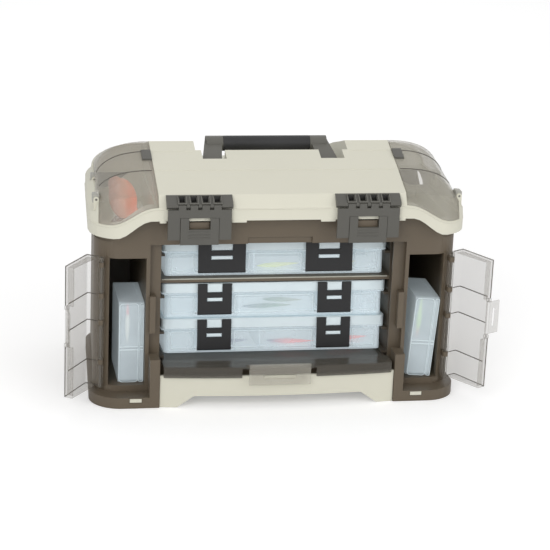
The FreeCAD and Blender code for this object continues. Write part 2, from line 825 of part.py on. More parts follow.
# Utility boxes, drawn at their level with the front edge of the lid at rack_front_d
def box_base(level, latch_at, latch_half_width):
    y0 = fy(rack_front_d)
    half = box_width / 2 - box_side_inset
    y_in = y0 + box_front_inset
    y_out = y0 + box_depth - box_front_inset
    shell = plate_z(-half, half, y_in, y_out, level, level + box_height - box_wall - clear, box_corner_r)
    hollow = plate_z(-half + box_wall, half - box_wall, y_in + box_wall, y_out - box_wall,
                     level + box_wall, level + box_height, box_corner_r - box_wall)
    flange_half = box_width / 2 - box_flange_inset
    flange = plate_z(-flange_half, flange_half, y0 + box_flange_inset, y0 + box_depth - box_flange_inset,
                     level + box_flange_z, level + box_flange_z + box_flange_thick, box_corner_r)
    base = shell.fuse(flange).cut(hollow)
    lugs = []
    for side in (1, -1):
        for end in (1, -1):
            x = side * latch_at + end * (latch_half_width + clear + box_lug_thick / 2)
            axis_y = y0 - box_latch_gap
            lug = box(x - box_lug_thick / 2, x + box_lug_thick / 2, axis_y - box_latch_barrel_r, y_in,
                      level + box_latch_axis_z - box_latch_barrel_r,
                      level + box_latch_axis_z + box_latch_barrel_r)
            hole = rod_x(x - box_lug_thick, x + box_lug_thick, axis_y, level + box_latch_axis_z,
                         box_latch_pin_r + pin_clear)
            lugs.append(lug.cut(hole))
    return tilted(fused([base] + lugs))


def box_lid(level):
    y0 = fy(rack_front_d)
    half = box_width / 2
    low = level + box_flange_z + box_flange_thick
    shell = plate_z(-half, half, y0, y0 + box_depth, low, level + box_height, box_corner_r)
    hollow = plate_z(-half + box_wall, half - box_wall, y0 + box_wall, y0 + box_depth - box_wall,
                     low - cut_over, level + box_height - box_wall, box_corner_r - box_wall)
    return tilted(shell.cut(hollow))


def box_dividers(level, cross_shares):
    """One long divider and short ones across the front and back rows."""
    y0 = fy(rack_front_d) + box_front_inset + box_wall + clear
    y1 = fy(rack_front_d) + box_depth - box_front_inset - box_wall - clear
    half = box_width / 2 - box_side_inset - box_wall - clear
    low = level + box_wall
    high = level + box_height - box_wall - clear * 2
    y_mid = (y0 + y1) / 2
    parts = [box(-half, half, y_mid, y_mid + divider_thick, low, high)]
    for share in cross_shares:
        parts.append(box(half * share, half * share + divider_thick, y0, y1, low, high))
    return tilted(fused(parts))


def box_latch(level, x, half):
    """A latch plate on a pin at its foot, as high as the box."""
    axis_y = fy(rack_front_d) - box_latch_gap
    axis_z = level + box_latch_axis_z
    front = axis_y - box_latch_barrel_r
    barrel = rod_x(x - half, x + half, axis_y, axis_z, box_latch_barrel_r)
    plate = box(x - half, x + half, front, front + box_latch_thick - touch_gap,
                axis_z, level + box_latch_top)
    pin_end = clear + box_lug_thick
    pin = rod_x(x - half - pin_end, x + half + pin_end, axis_y, axis_z, box_latch_pin_r)
    notch_half = half * latch_notch_share
    notch = box(x - notch_half, x + notch_half, front - cut_over, front + box_latch_thick + cut_over,
                level + box_latch_top - latch_notch_depth, level + box_latch_top + cut_over)
    slot_z = level + box_latch_top * latch_slot_share
    slot = box(x - notch_half, x + notch_half, front - cut_over, front + box_latch_thick + cut_over,
               slot_z, slot_z + latch_slot_height)
    return tilted(fused([barrel, plate.cut(notch).cut(slot), pin]))


# Lures: a flat spindle that lies on the floor of its box
def lure(x, y, z, length, turn, r=lure_r):
    """A lure body lying along X, then turned about Z."""
    flat = r * lure_flat_share
    wires = []
    for along, width in lure_form_shares:
        cx = x - length / 2 + length * along
        major = Vector(cx, y + r * width, z + flat)
        minor = Vector(cx, y, z + flat + flat * width)
        ellipse = Part.Ellipse(major, minor, Vector(cx, y, z + flat))
        wires.append(Part.Wire([ellipse.toShape()]))
    body = Part.makeLoft(wires, True, True)
    return turned(body, Vector(x, y, z), Vector(0, 0, 1), turn)


def box_lures(level, places):
    """Lures on the floor of one utility box; places are shares of its width and depth."""
    half = box_width / 2 - box_side_inset - box_wall
    y0 = fy(rack_front_d) + box_front_inset + box_wall
    depth = box_depth / 2 - box_front_inset - box_wall
    z = level + box_wall + pin_clear
    bodies = [lure(half * sx, y0 + depth * sy, z, lure_length * size, turn)
              for sx, sy, size, turn in places]
    return tilted(Part.makeCompound(bodies))


# Small boxes on edge in the end bays
def small_shift(shape, side):
    if side < 0:
        return shape
    place = Vector(right_small_x + small_width, 0, bay_floor_z + touch_gap)
    return turned(shape, place, Vector(0, 1, 0), right_small_lean)


def small_box(side):
    """Base and lid of one small box; the lid is its inner broad face."""
    x0 = left_small_x if side < 0 else right_small_x
    y0 = fy(left_small_d if side < 0 else right_small_d)
    z0 = bay_floor_z + touch_gap
    outer = plate_along_x(x0, x0 + small_width, y0, y0 + small_depth, z0, z0 + small_height, small_corner_r)
    inner = plate_along_x(x0 + small_wall, x0 + small_width - small_wall, y0 + small_wall,
                          y0 + small_depth - small_wall, z0 + small_wall,
                          z0 + small_height - small_wall, small_corner_r - small_wall)
    shell = outer.cut(inner)
    split = x0 + small_width - small_lid
    lid_zone = box(split, split + far, fy(-far), fy(far), 0, case_top)
    base = shell.cut(lid_zone)
    lid = shell.common(lid_zone)
    shelf_z = z0 + small_height * small_divider_share
    divider = box(x0 + small_wall, split, y0 + small_wall, y0 + small_depth - small_wall,
                  shelf_z, shelf_z + divider_thick)
    base = base.fuse(divider).removeSplitter()
    return base, lid, (x0, y0, z0, shelf_z)


def plate_along_x(x0, x1, y0, y1, z0, z1, r):
    """A block whose long edges along X are rounded."""
    block = box(x0, x1, y0, y1, z0, z1)
    along = [e for e in block.Edges if abs(e.Vertexes[0].X - e.Vertexes[1].X) > (x1 - x0) / 2]
    return block.makeFillet(r, along)


def small_lure(place):
    """A lure that stands on end beside the lid of a small box."""
    x0, y0, z0, shelf_z = place
    y = y0 + small_depth * small_lure_depth_share
    body = lure(0, 0, 0, small_height * small_lure_share, 0)
    body.rotate(Vector(0, 0, 0), Vector(0, 1, 0), -90)
    body.translate(Vector(x0 + small_width / 2, y, 0))
    body.translate(Vector(0, 0, shelf_z + divider_thick + pin_clear - body.BoundBox.ZMin))
    return body


# Side doors, drawn closed on the right and then opened
def door_axis(side):
    return Vector(side * door_hinge_x, fy(-door_hinge_proud), 0)


def opened(shape, side):
    """Turn a right-hand door piece to its rest angle, mirrored for the left."""
    angle = right_door_open if side > 0 else left_door_open
    shape = turned(shape, door_axis(1), Vector(0, 0, 1), angle)
    return shape if side > 0 else mirror(shape)


def make_side_door():
    """Closed right door: wrap, face, rims, lip, ribs and the barrels between the case's ears."""
    face_y = fy(-door_face_proud)
    axis = door_axis(1)
    wrap_in = door_hinge_x + clear
    wrap_out = wrap_in + door_skin
    parts = [
        box(door_free_x, wrap_out, face_y, face_y + door_skin, door_low_z, door_high_z),
        box(wrap_in, wrap_out, face_y, axis.y, door_low_z, door_high_z),
        box(door_free_x, door_free_x + door_skin, face_y, face_y + door_lip, door_low_z, door_high_z),
    ]
    rim = [(door_free_x, face_y), (wrap_out, face_y), (wrap_out, face_y + door_rim_depth),
           (door_free_x, face_y + door_lip)]
    parts.append(prism_z(rim, door_low_z, door_low_z + door_skin))
    parts.append(prism_z(rim, door_high_z - door_skin, door_high_z))
    for z in rib_zs:
        parts.append(box(door_free_x + door_skin, wrap_in, face_y + door_skin,
                         face_y + door_skin + rib_proud, z, z + rib_height))
    spans = list(zip((door_low_z,) + tuple(z + door_lug_height / 2 + clear for z in door_lug_zs),
                     tuple(z - door_lug_height / 2 - clear for z in door_lug_zs) + (door_high_z,)))
    for z0, z1 in spans:
        parts.append(rod_z(axis.x, axis.y, z0, z1, door_barrel_r))
    door = fused(parts)
    gap_r = door_barrel_r + clear
    for z in door_lug_zs:
        low = z - door_lug_height / 2 - clear
        high = z + door_lug_height / 2 + clear
        door = door.cut(rod_z(axis.x, axis.y, low, high, gap_r))
        gap_back = axis.y + gap_r * 2
        door = door.cut(box(axis.x - gap_r, wrap_out + cut_over, axis.y - gap_r, gap_back, low, high))
    door = door.cut(rod_z(axis.x, axis.y, 0, case_top, door_pin_r + pin_clear))
    notch = box(door_free_x - cut_over, door_free_x + door_notch_in, face_y - cut_over,
                face_y + door_lip + cut_over, door_notch_low_z, door_notch_high_z)
    door = door.cut(notch)
    ears = []
    fx, fyy = flap_axis_place()
    for z0, z1 in ((door_notch_low_z, flap_low_z - clear), (flap_high_z + clear, door_notch_high_z)):
        ear = box(fx - latch_barrel_r, door_free_x + door_notch_in, fyy - flap_pin_r * 2,
                  fyy + flap_pin_r * 2, z0, z1)
        ears.append(ear.cut(rod_z(fx, fyy, 0, case_top, flap_pin_r + pin_clear)))
    return fused([door] + ears)


def flap_axis_place():
    return door_free_x + flap_axis_in, fy(-door_face_proud) + flap_pin_r * 2


def make_side_flap(turn):
    """Slotted latch flap on the right door's free edge, turned outward from the door's plane."""
    x, y = flap_axis_place()
    barrel = rod_z(x, y, flap_low_z, flap_high_z, flap_pin_r * 2)
    plate = box(x - flap_length, x, y - flap_thick / 2, y + flap_thick / 2, flap_low_z, flap_high_z)
    mid = (flap_low_z + flap_high_z) / 2
    slot_x = x - flap_length + flap_slot_in
    slot = box(slot_x - flap_slot_width / 2, slot_x + flap_slot_width / 2, y - cut_over - flap_thick,
               y + cut_over + flap_thick, mid - flap_slot_height / 2, mid + flap_slot_height / 2)
    pin = rod_z(x, y, door_notch_low_z, door_notch_high_z, flap_pin_r)
    flap = fused([barrel, plate.cut(slot), pin])
    return turned(flap, Vector(x, y, 0), Vector(0, 0, 1), turn)


def make_door_pins():
    pins = []
    for side in (1, -1):
        axis = door_axis(side)
        pins.append(rod_z(axis.x, axis.y, door_low_z, door_high_z, door_pin_r))
    return pins


# Lid
def hatch_zone(grow, top):
    """The right hatch's region; grow widens it for the opening in the lid."""
    rise = lip_height + hatch_rise - grow
    low = [(shoulder_x + hatch_gap - grow, edge_z + rise)]
    low += [(x, edge_z + rise - lip_drop_at(x)) for x in spaced_xs(lip_drop_start, lip_drop_end)]
    low.append((far, edge_z + rise - edge_drop))
    low += [(far, top), (shoulder_x + hatch_gap - grow, top)]
    zone = prism_y(low, fy(-far), fy(hatch_back_d + grow))
    side_x = lid_half - hatch_side_in + grow
    return zone.cut(beyond(side_x, 0, hatch_hinge_z + touch_gap - grow))


def channel(grow):
    """The handle's channel with its two arm notches; grow adds the skin round them."""
    top = case_top + far
    back = case_depth + lid_back_over
    floor = [(fy(channel_front_d - grow), channel_front_z - grow), (fy(back), channel_back_z - grow),
             (fy(back + cut_over), channel_back_z - grow), (fy(back + cut_over), top),
             (fy(channel_front_d - grow), top)]
    parts = [prism_x(floor, -channel_half - grow, channel_half + grow)]
    for side in (1, -1):
        lows, highs = sorted((side * notch_in, side * notch_out))
        parts.append(box(lows - grow, highs + grow, fy(notch_front_d - grow), fy(channel_front_d + cut_over),
                         notch_floor_z - grow, top))
    return fused(parts)


def make_lid():
    top = case_top + far
    outer = lid_body(0, 0)
    hollow = lid_body(skin, skin)
    hollow = hollow.cut(channel(skin))
    lid = outer.cut(hollow).cut(channel(0))
    plan = plan_block(case_half + case_gap, front_y - case_gap, back_y + case_gap,
                      0, edge_z + rim_rise, case_corner_r + case_gap)
    keep_above = prism_y(above_edge(rim_rise + rim_clear, 0, far, top), fy(-far),
                         fy(drop_back_d - drop_back_run))
    plan = plan.cut(keep_above).cut(mirror(keep_above))
    rear = box(-far, far, fy(drop_back_d - drop_back_run), fy(far), 0, edge_z).cut(behind_rise(0, top))
    lid = lid.cut(plan).cut(rear)
    ledge_out = above_edge(rim_rise + rim_clear, shoulder_x - skin, far, top)
    ledge_top = above_edge(rim_rise + rim_clear + ledge_thick, shoulder_x - skin - cut_over, far + cut_over,
                           top + cut_over)
    ledge = prism_y(ledge_out, fy(-lid_front_over), fy(hatch_back_d)).cut(
        prism_y(ledge_top, fy(-far), fy(far)))
    wellhole = box(well_in, well_out, fy(well_front_d), fy(well_back_d), deck_z, top)
    wellhole = wellhole.common(inside_rim(well_clear + skin, top))
    ledge = ledge.cut(wellhole).common(lid_body(skin / 2, 0))
    cheek = box(shoulder_x - skin, shoulder_x, fy(-lid_front_over), fy(hatch_back_d), edge_z, top)
    cheek = cheek.cut(prism_y(above_edge(0, 0, far, edge_z + rim_rise + rim_clear), fy(-far), fy(far)))
    cheek = cheek.common(lid_body(skin / 2, 0))
    back_wall = box(shoulder_x - skin, lid_half - hatch_side_in, fy(hatch_back_d), fy(hatch_back_d + skin),
                    edge_z + rim_rise + rim_clear, top).common(lid_body(skin / 2, 0))
    zone = hatch_zone(hatch_gap, top)
    extras = [ledge, cheek, back_wall]
    lid = lid.cut(zone).cut(mirror(zone))
    extras = [piece.cut(hatch_zone(hatch_gap, top)) if piece is not ledge else piece for piece in extras]
    lugs = []
    for d in hatch_hinge_places:
        lugs += hatch_lugs(d)
        gap = hatch_knuckle_gap(d)
        lid = lid.cut(gap).cut(mirror(gap))
    right = extras + lugs
    lid = fused([lid] + right + [mirror(piece) for piece in right])
    knuckles = [lid_knuckle(x) for x in lid_knuckle_xs]
    lid = fused([lid] + knuckles)
    for pin in hatch_pin_rods(hatch_pin_r):
        lid = lid.cut(pin)
    return lid


def parted_lid():
    """The lid as its crown, the rim round its foot with the narrow ledges, and the handle's tub."""
    lid = make_lid()
    tub_zone = channel(skin)
    rim_zone = box(-far, far, fy(-far), fy(far), 0, edge_z + lip_height)
    end_zone = beyond(lid_half - rim_end_in, 0, far)
    rim_zone = fused([rim_zone, end_zone, mirror(end_zone)])
    rest = lid.cut(tub_zone)
    return rest.cut(rim_zone), rest.common(rim_zone), lid.common(tub_zone)


def hatch_axis():
    return lid_half - hatch_hinge_in, hatch_hinge_z


def along_end(shape):
    """Turn a hinge piece, drawn along Y, into line with the end that draws in."""
    x, z = hatch_axis()
    return turned(shape, Vector(x, front_y, z), Vector(0, 0, 1), math.degrees(math.atan(end_taper_share)))


def hatch_knuckle_gap(d):
    half = hatch_knuckle_length / 2 + clear
    x, z = hatch_axis()
    r = hatch_knuckle_r + clear
    return along_end(box(x - r, x + far, fy(d - half), fy(d + half), z - r, z + far))


def hatch_lugs(d):
    """Two ears of the lid's rim, one each side of a hatch knuckle."""
    x, z = hatch_axis()
    lugs = []
    for sign in (1, -1):
        near = d + sign * (hatch_knuckle_length / 2 + clear)
        y0, y1 = sorted((near, near + sign * hatch_lug_length))
        ear = rod_y(x, fy(y0), fy(y1), z, hatch_knuckle_r)
        web = box(x - hatch_knuckle_r, x + hatch_knuckle_r, fy(y0), fy(y1), z - hatch_knuckle_r * 4, z)
        hole = rod_y(x, fy(y0 - cut_over), fy(y1 + cut_over), z, hatch_pin_r)
        lugs.append(along_end(ear.fuse(web).cut(hole)))
    return lugs


def lid_knuckle(x):
    """Two barrels of the lid, one each side of a case barrel."""
    y = fy(lid_pin_d)
    back = fy(case_depth + lid_back_over)
    pair = []
    for sign in (1, -1):
        near = x + sign * (lid_knuckle_length / 2 + clear)
        x0, x1 = sorted((near, near + sign * lid_knuckle_length / 2))
        barrel = rod_x(x0, x1, y, lid_pin_z, lid_barrel_r)
        arm = box(x0, x1, back - skin, y, lid_pin_z, lid_pin_z + lid_barrel_r)
        hole = rod_x(x0 - cut_over, x1 + cut_over, y, lid_pin_z, lid_pin_r + pin_clear)
        pair.append(barrel.fuse(arm).cut(hole))
    return pair[0].fuse(pair[1])


def inside_rim(inset, top):
    """The room inside the case's rim, drawn in by inset."""
    half = case_half - wall - inset
    return plan_block(half, fy(wall + inset), fy(inner_depth - inset), deck_z, top,
                      case_corner_r - wall - inset)


def make_well():
    """Open tub under the right hatch, hung under the lid's ledge."""
    top = edge_z + rim_rise + rim_clear
    outer = box(well_in - skin, well_out + skin, fy(well_front_d - skin), fy(well_back_d + skin),
                well_floor_z, top)
    outer = outer.common(inside_rim(well_clear, top))
    inner = box(well_in, well_out, fy(well_front_d), fy(well_back_d), well_floor_z + skin, top + cut_over)
    inner = inner.common(inside_rim(well_clear + skin, top + cut_over))
    over = prism_y(above_edge(rim_rise + rim_clear, shoulder_x - skin * 2, far, top + cut_over),
                   fy(-far), fy(far))
    return outer.cut(inner).cut(over)


def make_hatch():
    """Smoked cover of the right end, with its hinge barrels."""
    top = case_top + far
    zone = hatch_zone(0, top)
    x, z = hatch_axis()
    shell = lid_body(0, -far).common(zone).cut(lid_body(skin, -far))
    inner_cheek = box(shoulder_x + hatch_gap, shoulder_x + hatch_gap + skin, fy(-far), fy(hatch_back_d),
                      edge_z + lip_height + hatch_rise, top)
    cheek_low = prism_x([(y, z0 - hatch_cheek_depth) for y, z0 in lid_section(0, 0, 0)],
                        shoulder_x, shoulder_x + far)
    inner_cheek = inner_cheek.common(zone).common(lid_body(skin / 2, -far)).cut(cheek_low)
    shell = shell.fuse(inner_cheek).cut(along_end(box(x, x + far, fy(-far), fy(far), 0, top)))
    barrels = []
    for d in hatch_hinge_places:
        half = hatch_knuckle_length / 2
        for other in (-1, 1):
            y_near = d + other * (half + clear)
            y_far = d + other * (half + clear + hatch_lug_length + clear)
            y0, y1 = sorted((y_near - other * clear, y_far))
            r = hatch_knuckle_r + clear
            shell = shell.cut(along_end(box(x - r, x + far, fy(y0), fy(y1), z - far, z + r)))
        barrel = rod_y(x, fy(d - half), fy(d + half), z, hatch_knuckle_r)
        arm = box(x - hatch_knuckle_r, x, fy(d - half), fy(d + half), z, z + hatch_knuckle_r * 2)
        barrels.append(along_end(barrel.fuse(arm)))
    hatch = fused([shell] + barrels)
    for pin in hatch_pin_rods(hatch_pin_r + pin_clear):
        hatch = hatch.cut(pin)
    return hatch


def make_hatch_clasp():
    """Grey finger clasp on the hatch's inner edge."""
    x0 = shoulder_x + hatch_gap
    outline = [(y, z) for y, z in lid_section(0, 0, 0)]
    raised = [(y, z + clasp_rise) for y, z in outline]
    slab = prism_x(raised, x0, x0 + clasp_width).cut(lid_body(0, -far))
    zone = box(x0, x0 + clasp_width, fy(clasp_d), fy(clasp_d + clasp_length), edge_z + lip_height, far)
    return slab.common(zone)


def hatch_pin_rods(r):
    """The hatches' hinge pins on both sides, or with a larger radius their holes."""
    x, z = hatch_axis()
    rods = []
    for d in hatch_hinge_places:
        reach = hatch_knuckle_length / 2 + clear + hatch_lug_length
        rod = along_end(rod_y(x, fy(d - reach), fy(d + reach), z, r))
        rods += [rod, mirror(rod)]
    return rods


def make_lid_pin():
    reach = lid_knuckle_xs[-1] + lid_knuckle_length + clear * 2
    return rod_x(-reach, reach, fy(lid_pin_d), lid_pin_z, lid_pin_r)


# Front latches, drawn on the right
def latch_axis_y():
    return fy(-lid_front_over - latch_gap)


def knuckle_xs():
    first = latch_x - knuckle_pitch * (latch_knuckles - 1) / 2
    return [first + knuckle_pitch * i for i in range(latch_knuckles)]


def make_latch_block():
    """Grey hinge block on the lid's band, with a row of square holes over its lugs."""
    y = latch_axis_y()
    z = latch_top_z
    lip_z = edge_z + lip_height
    top_z = lip_z + block_rise
    outline = [(fy(-lid_front_over), lip_z), (y, z - latch_barrel_r), (y - latch_barrel_r, z),
               (y - latch_barrel_r + clear, z + latch_barrel_r), (fy(lid_front_d(block_rise)) - skin, top_z),
               (fy(lid_front_d(block_rise)), top_z)]
    block = prism_x(outline, latch_x - block_half, latch_x + block_half)
    for x in knuckle_xs():
        half = knuckle_length / 2 + clear
        r = latch_barrel_r + clear
        block = block.cut(box(x - half, x + half, y - far, y + r, 0, z + r))
        hole = box(x - block_hole / 2, x + block_hole / 2, y - far, fy(-lid_front_over) + block_hole_depth,
                   z + r + clear, z + r + clear + block_hole)
        block = block.cut(hole)
    block = block.cut(rod_x(latch_x - far, latch_x + far, y, z, latch_pin_r))
    return block.cut(lid_body(0, 0))


def make_latch_plate():
    """Latch plate with four barrels at its top and a cut-out for the finger tab."""
    y = latch_axis_y()
    z = latch_top_z
    front = y - latch_thick
    high = z - latch_barrel_r - clear
    plate = box(latch_x - latch_half, latch_x + latch_half, front, y, latch_low_z, high)
    slot_half = tab_leg_half + clear
    slot = box(latch_x - slot_half, latch_x + slot_half, front - cut_over, y + cut_over,
               latch_low_z - cut_over, tab_leg_top_z)
    plate = plate.cut(slot)
    parts = [plate]
    for x in knuckle_xs():
        half = knuckle_length / 2
        barrel = rod_x(x - half, x + half, y, z, latch_barrel_r)
        web = box(x - half, x + half, front, y, high, z)
        parts.append(barrel.fuse(web).cut(rod_x(x - far, x + far, y, z, latch_pin_r + pin_clear)))
    return fused(parts)


def make_latch_tab():
    """U-shaped finger tab, seated in the plate, with ribs and a turned-out foot."""
    y = latch_axis_y()
    front = y - latch_thick - tab_proud
    back = y + tab_back
    body = box(latch_x - tab_leg_half, latch_x + tab_leg_half, front, back, tab_low_z, tab_leg_top_z)
    window = box(latch_x - tab_window_half, latch_x + tab_window_half, front - cut_over, back + cut_over,
                 tab_window_low_z, tab_leg_top_z + cut_over)
    body = body.cut(window)
    ribs = []
    for i in range(tab_ribs):
        z = latch_low_z + tab_rib_pitch * (i + 1) - tab_rib_pitch / 2
        ribs.append(box(latch_x - tab_window_half, latch_x + tab_window_half, front - tab_proud, front,
                        z, z + tab_proud * 2))
    return fused([body] + ribs)


def make_latch_pins():
    y = latch_axis_y()
    return [rod_x(s * latch_x - block_half, s * latch_x + block_half, y, latch_top_z, latch_pin_r)
            for s in (1, -1)]


# Handle, drawn lying back in its channel
def handle_turn(shape):
    return turned(shape, Vector(0, fy(pivot_d), pivot_z), Vector(1, 0, 0), handle_lean)


def make_handle_frame():
    """Two arms on the pivot pins, joined by the core bar inside the grip."""
    y = fy(pivot_d)
    grip_y = y + handle_reach
    parts = []
    for side in (1, -1):
        outline = [(side * arm_in, y), (side * arm_out, y), (side * arm_top_out, grip_y + grip_r),
                   (side * arm_top_in, grip_y + grip_r)]
        parts.append(prism_z(outline, pivot_z - arm_thick / 2, pivot_z + arm_thick / 2))
        lows, highs = sorted((side * arm_in, side * arm_out))
        parts.append(rod_x(lows, highs, y, pivot_z, hub_r))
        lows, highs = sorted((side * arm_top_in, side * arm_top_out))
        parts.append(rod_x(lows, highs, grip_y, pivot_z, grip_r))
    parts.append(rod_x(-arm_top_in, arm_top_in, grip_y, pivot_z, grip_core_r))
    frame = parts[0]
    for piece in parts[1:]:
        frame = frame.fuse(piece)
    frame = frame.cut(rod_x(-far, far, y, pivot_z, handle_pin_r + pin_clear))
    return handle_turn(frame)


def make_handle_grip():
    y = fy(pivot_d) + handle_reach
    sleeve = rod_x(-arm_top_in, arm_top_in, y, pivot_z, grip_r)
    sleeve = sleeve.cut(rod_x(-far, far, y, pivot_z, grip_core_r))
    return handle_turn(sleeve)


def make_handle_pins():
    pins = []
    for side in (1, -1):
        lows, highs = sorted((side * notch_in, side * notch_out))
        pins.append(rod_x(lows, highs, fy(pivot_d), pivot_z, handle_pin_r))
    return pins


case_parts = parted_case()
for piece_name, piece in zip(("case_bumper", "case_front", "case_floors", "case_shell"), case_parts):
    keep(piece_name, piece)
keep("base_tray", make_base())
keep("base_screws", make_base_screws())
keep("case_pins", Part.makeCompound(make_door_pins() + [make_lid_pin()]))
panel = make_rack_panel()
keep("rack_panel_right", panel)
keep("rack_panel_left", mirror(panel))
keep("rack_shelf", make_rack_shelf())
for piece_name, piece in zip(("lid_shell", "lid_rim", "lid_channel"), parted_lid()):
    keep(piece_name, piece)
well = make_well()
keep("hatch_well_right", well)
keep("hatch_well_left", mirror(well))
hatch = make_hatch()
keep("hatch_right", hatch)
keep("hatch_left", mirror(hatch))
clasp = make_hatch_clasp()
keep("hatch_clasp_right", clasp)
keep("hatch_clasp_left", mirror(clasp))
keep("lid_pins", Part.makeCompound(hatch_pin_rods(hatch_pin_r) + make_latch_pins() + make_handle_pins()))
for piece_name, piece in (("latch_block", make_latch_block()), ("latch_plate", make_latch_plate()),
                          ("latch_tab", make_latch_tab())):
    keep(piece_name + "_right", piece)
    keep(piece_name + "_left", mirror(piece))
keep("handle_frame", make_handle_frame())
keep("handle_grip", make_handle_grip())
door = make_side_door()
keep("side_door_right", opened(door, 1))
keep("side_door_left", opened(door, -1))
keep("side_flap_right", opened(make_side_flap(right_flap_turn), 1))
keep("side_flap_left", opened(make_side_flap(-left_flap_turn), -1))
keep("front_door", make_front_door())
keep("front_flap", make_front_flap())

keep("hatch_lure_left", lure(-(well_in + well_out) / 2, fy(hatch_lure_d),
                             well_floor_z + skin + pin_clear, hatch_lure_length,
                             hatch_lure_turn, hatch_lure_r))

box_row_shares = (
    ("bottom", level_zs[0], box_latch_x, box_latch_half, (-0.7, -0.13, 0.47),
     ((-0.42, 0.35, 1.0, 8), (0.2, 0.3, 0.95, -6), (0.75, 0.4, 0.9, 10))),
    ("middle", level_zs[1], box_latch_x, box_latch_half, (-0.6, -0.33, 0.45),
     ((-0.03, 0.35, 1.0, 4), (0.16, 0.68, 0.8, -8))),
    ("top", level_zs[2], top_latch_x, top_latch_half, (-0.55, -0.2, 0.34),
     ((0.07, 0.35, 0.9, 12), (0.62, 0.5, 0.9, -5))),
)
for row, level, latch_at, latch_w, cross_shares, places in box_row_shares:
    keep("box_" + row + "_base", box_base(level, latch_at, latch_w))
    keep("box_" + row + "_lid", box_lid(level))
    keep("box_" + row + "_dividers", box_dividers(level, cross_shares))
    keep("box_" + row + "_latch_right", box_latch(level, latch_at, latch_w))
    keep("box_" + row + "_latch_left", box_latch(level, -latch_at, latch_w))
    keep("box_" + row + "_lures", box_lures(level, places))

for name, side in (("left", -1), ("right", 1)):
    base, lid, place = small_box(side)
    keep("small_box_" + name + "_base", small_shift(base, side))
    keep("small_box_" + name + "_lid", small_shift(lid, side))
    keep("small_box_" + name + "_lure", small_shift(small_lure(place), side))

os.makedirs("parts", exist_ok=True)
for name, shape in nodes.items():
    shape.exportStep("parts/" + name + ".step")
    print(name, len(shape.Solids), round(shape.Volume), shape.isValid())
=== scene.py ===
"""Fishing tackle cabinet: hard case, crowned lid with smoked end hatches, clear boxes on racks."""
import math

import bpy
from mathutils import Matrix, Vector


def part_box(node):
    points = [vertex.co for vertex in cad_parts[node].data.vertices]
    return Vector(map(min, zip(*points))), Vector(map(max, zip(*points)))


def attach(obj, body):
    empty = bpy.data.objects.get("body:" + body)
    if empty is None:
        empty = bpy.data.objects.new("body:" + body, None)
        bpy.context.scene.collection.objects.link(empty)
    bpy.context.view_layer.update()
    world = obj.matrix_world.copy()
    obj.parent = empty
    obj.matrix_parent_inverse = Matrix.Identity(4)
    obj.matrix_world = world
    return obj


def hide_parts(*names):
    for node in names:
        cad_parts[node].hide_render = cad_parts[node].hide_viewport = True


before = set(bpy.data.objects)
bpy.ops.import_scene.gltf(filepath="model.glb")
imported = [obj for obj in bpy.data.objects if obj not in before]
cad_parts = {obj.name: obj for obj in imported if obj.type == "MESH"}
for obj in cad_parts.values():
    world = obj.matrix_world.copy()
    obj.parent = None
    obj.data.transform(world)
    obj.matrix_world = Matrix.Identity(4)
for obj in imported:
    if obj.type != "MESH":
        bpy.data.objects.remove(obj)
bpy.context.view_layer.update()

bl_info = {
    "name": "Fishing tackle cabinet",
    "version": (1, 0, 0),
    "blender": (4, 5, 0),
    "location": "View3D > Sidebar > Tackle",
    "description": "Dresses a fishing tackle cabinet with its boxes, doors, latches and lures",
    "category": "Object",
}

MM = 0.001
SIDES = (("left", -1), ("right", 1))
ROWS = ("bottom", "middle", "top")

# Places the new pieces share with the cabinet's own sizes, in millimetres
FAR = 500.0
FRONT_Y = -109.0
EDGE_Z = 235.0
LIP_Z = 250.0
CASE_HALF = 223.0
CORNER_R = 30.0
SHELF_EDGE_Z = 148.8
BAY_FLOOR_Z = 19.0
BAY_HEAD_Z = 184.6
LIP_FRONT_Y = FRONT_Y - 18.0
LIP_BEAD_R = 0.9
CREASE_R = 0.4
LIP_DROP_START = 71.0
LIP_DROP_END = 13.0
LIP_HALF_DROP = 11.0
SHOULDER_X = 148.0
LATCH_X = 102.0
LATCH_HALF = 39.0
KNUCKLE_PITCH = 14.0
HATCH_HINGE = (222.5, 254.0)
HATCH_HINGE_DEPTHS = (20.0, 106.0)
END_TAPER = 0.06
RACK_Y = FRONT_Y + 18.0
RACK_TILT = 5.0
BOX_ROWS = (("bottom", 54.0, 74.5, 21.0), ("middle", 99.0, 74.5, 21.0), ("top", 151.5, 66.5, 29.2))
DOOR_HINGE = (215.5, FRONT_Y + 1.5)
DOOR_FREE_X = 165.0
DOOR_FACE_Y = FRONT_Y - 20.0
DOOR_WRAP_X = 218.4
DOOR_LOW_Z = 19.5
DOOR_HIGH_Z = 185.5
DOOR_OPEN = {"left": 123.0, "right": 120.0}
MIRROR = Matrix.Scale(-1, 4, (1, 0, 0))


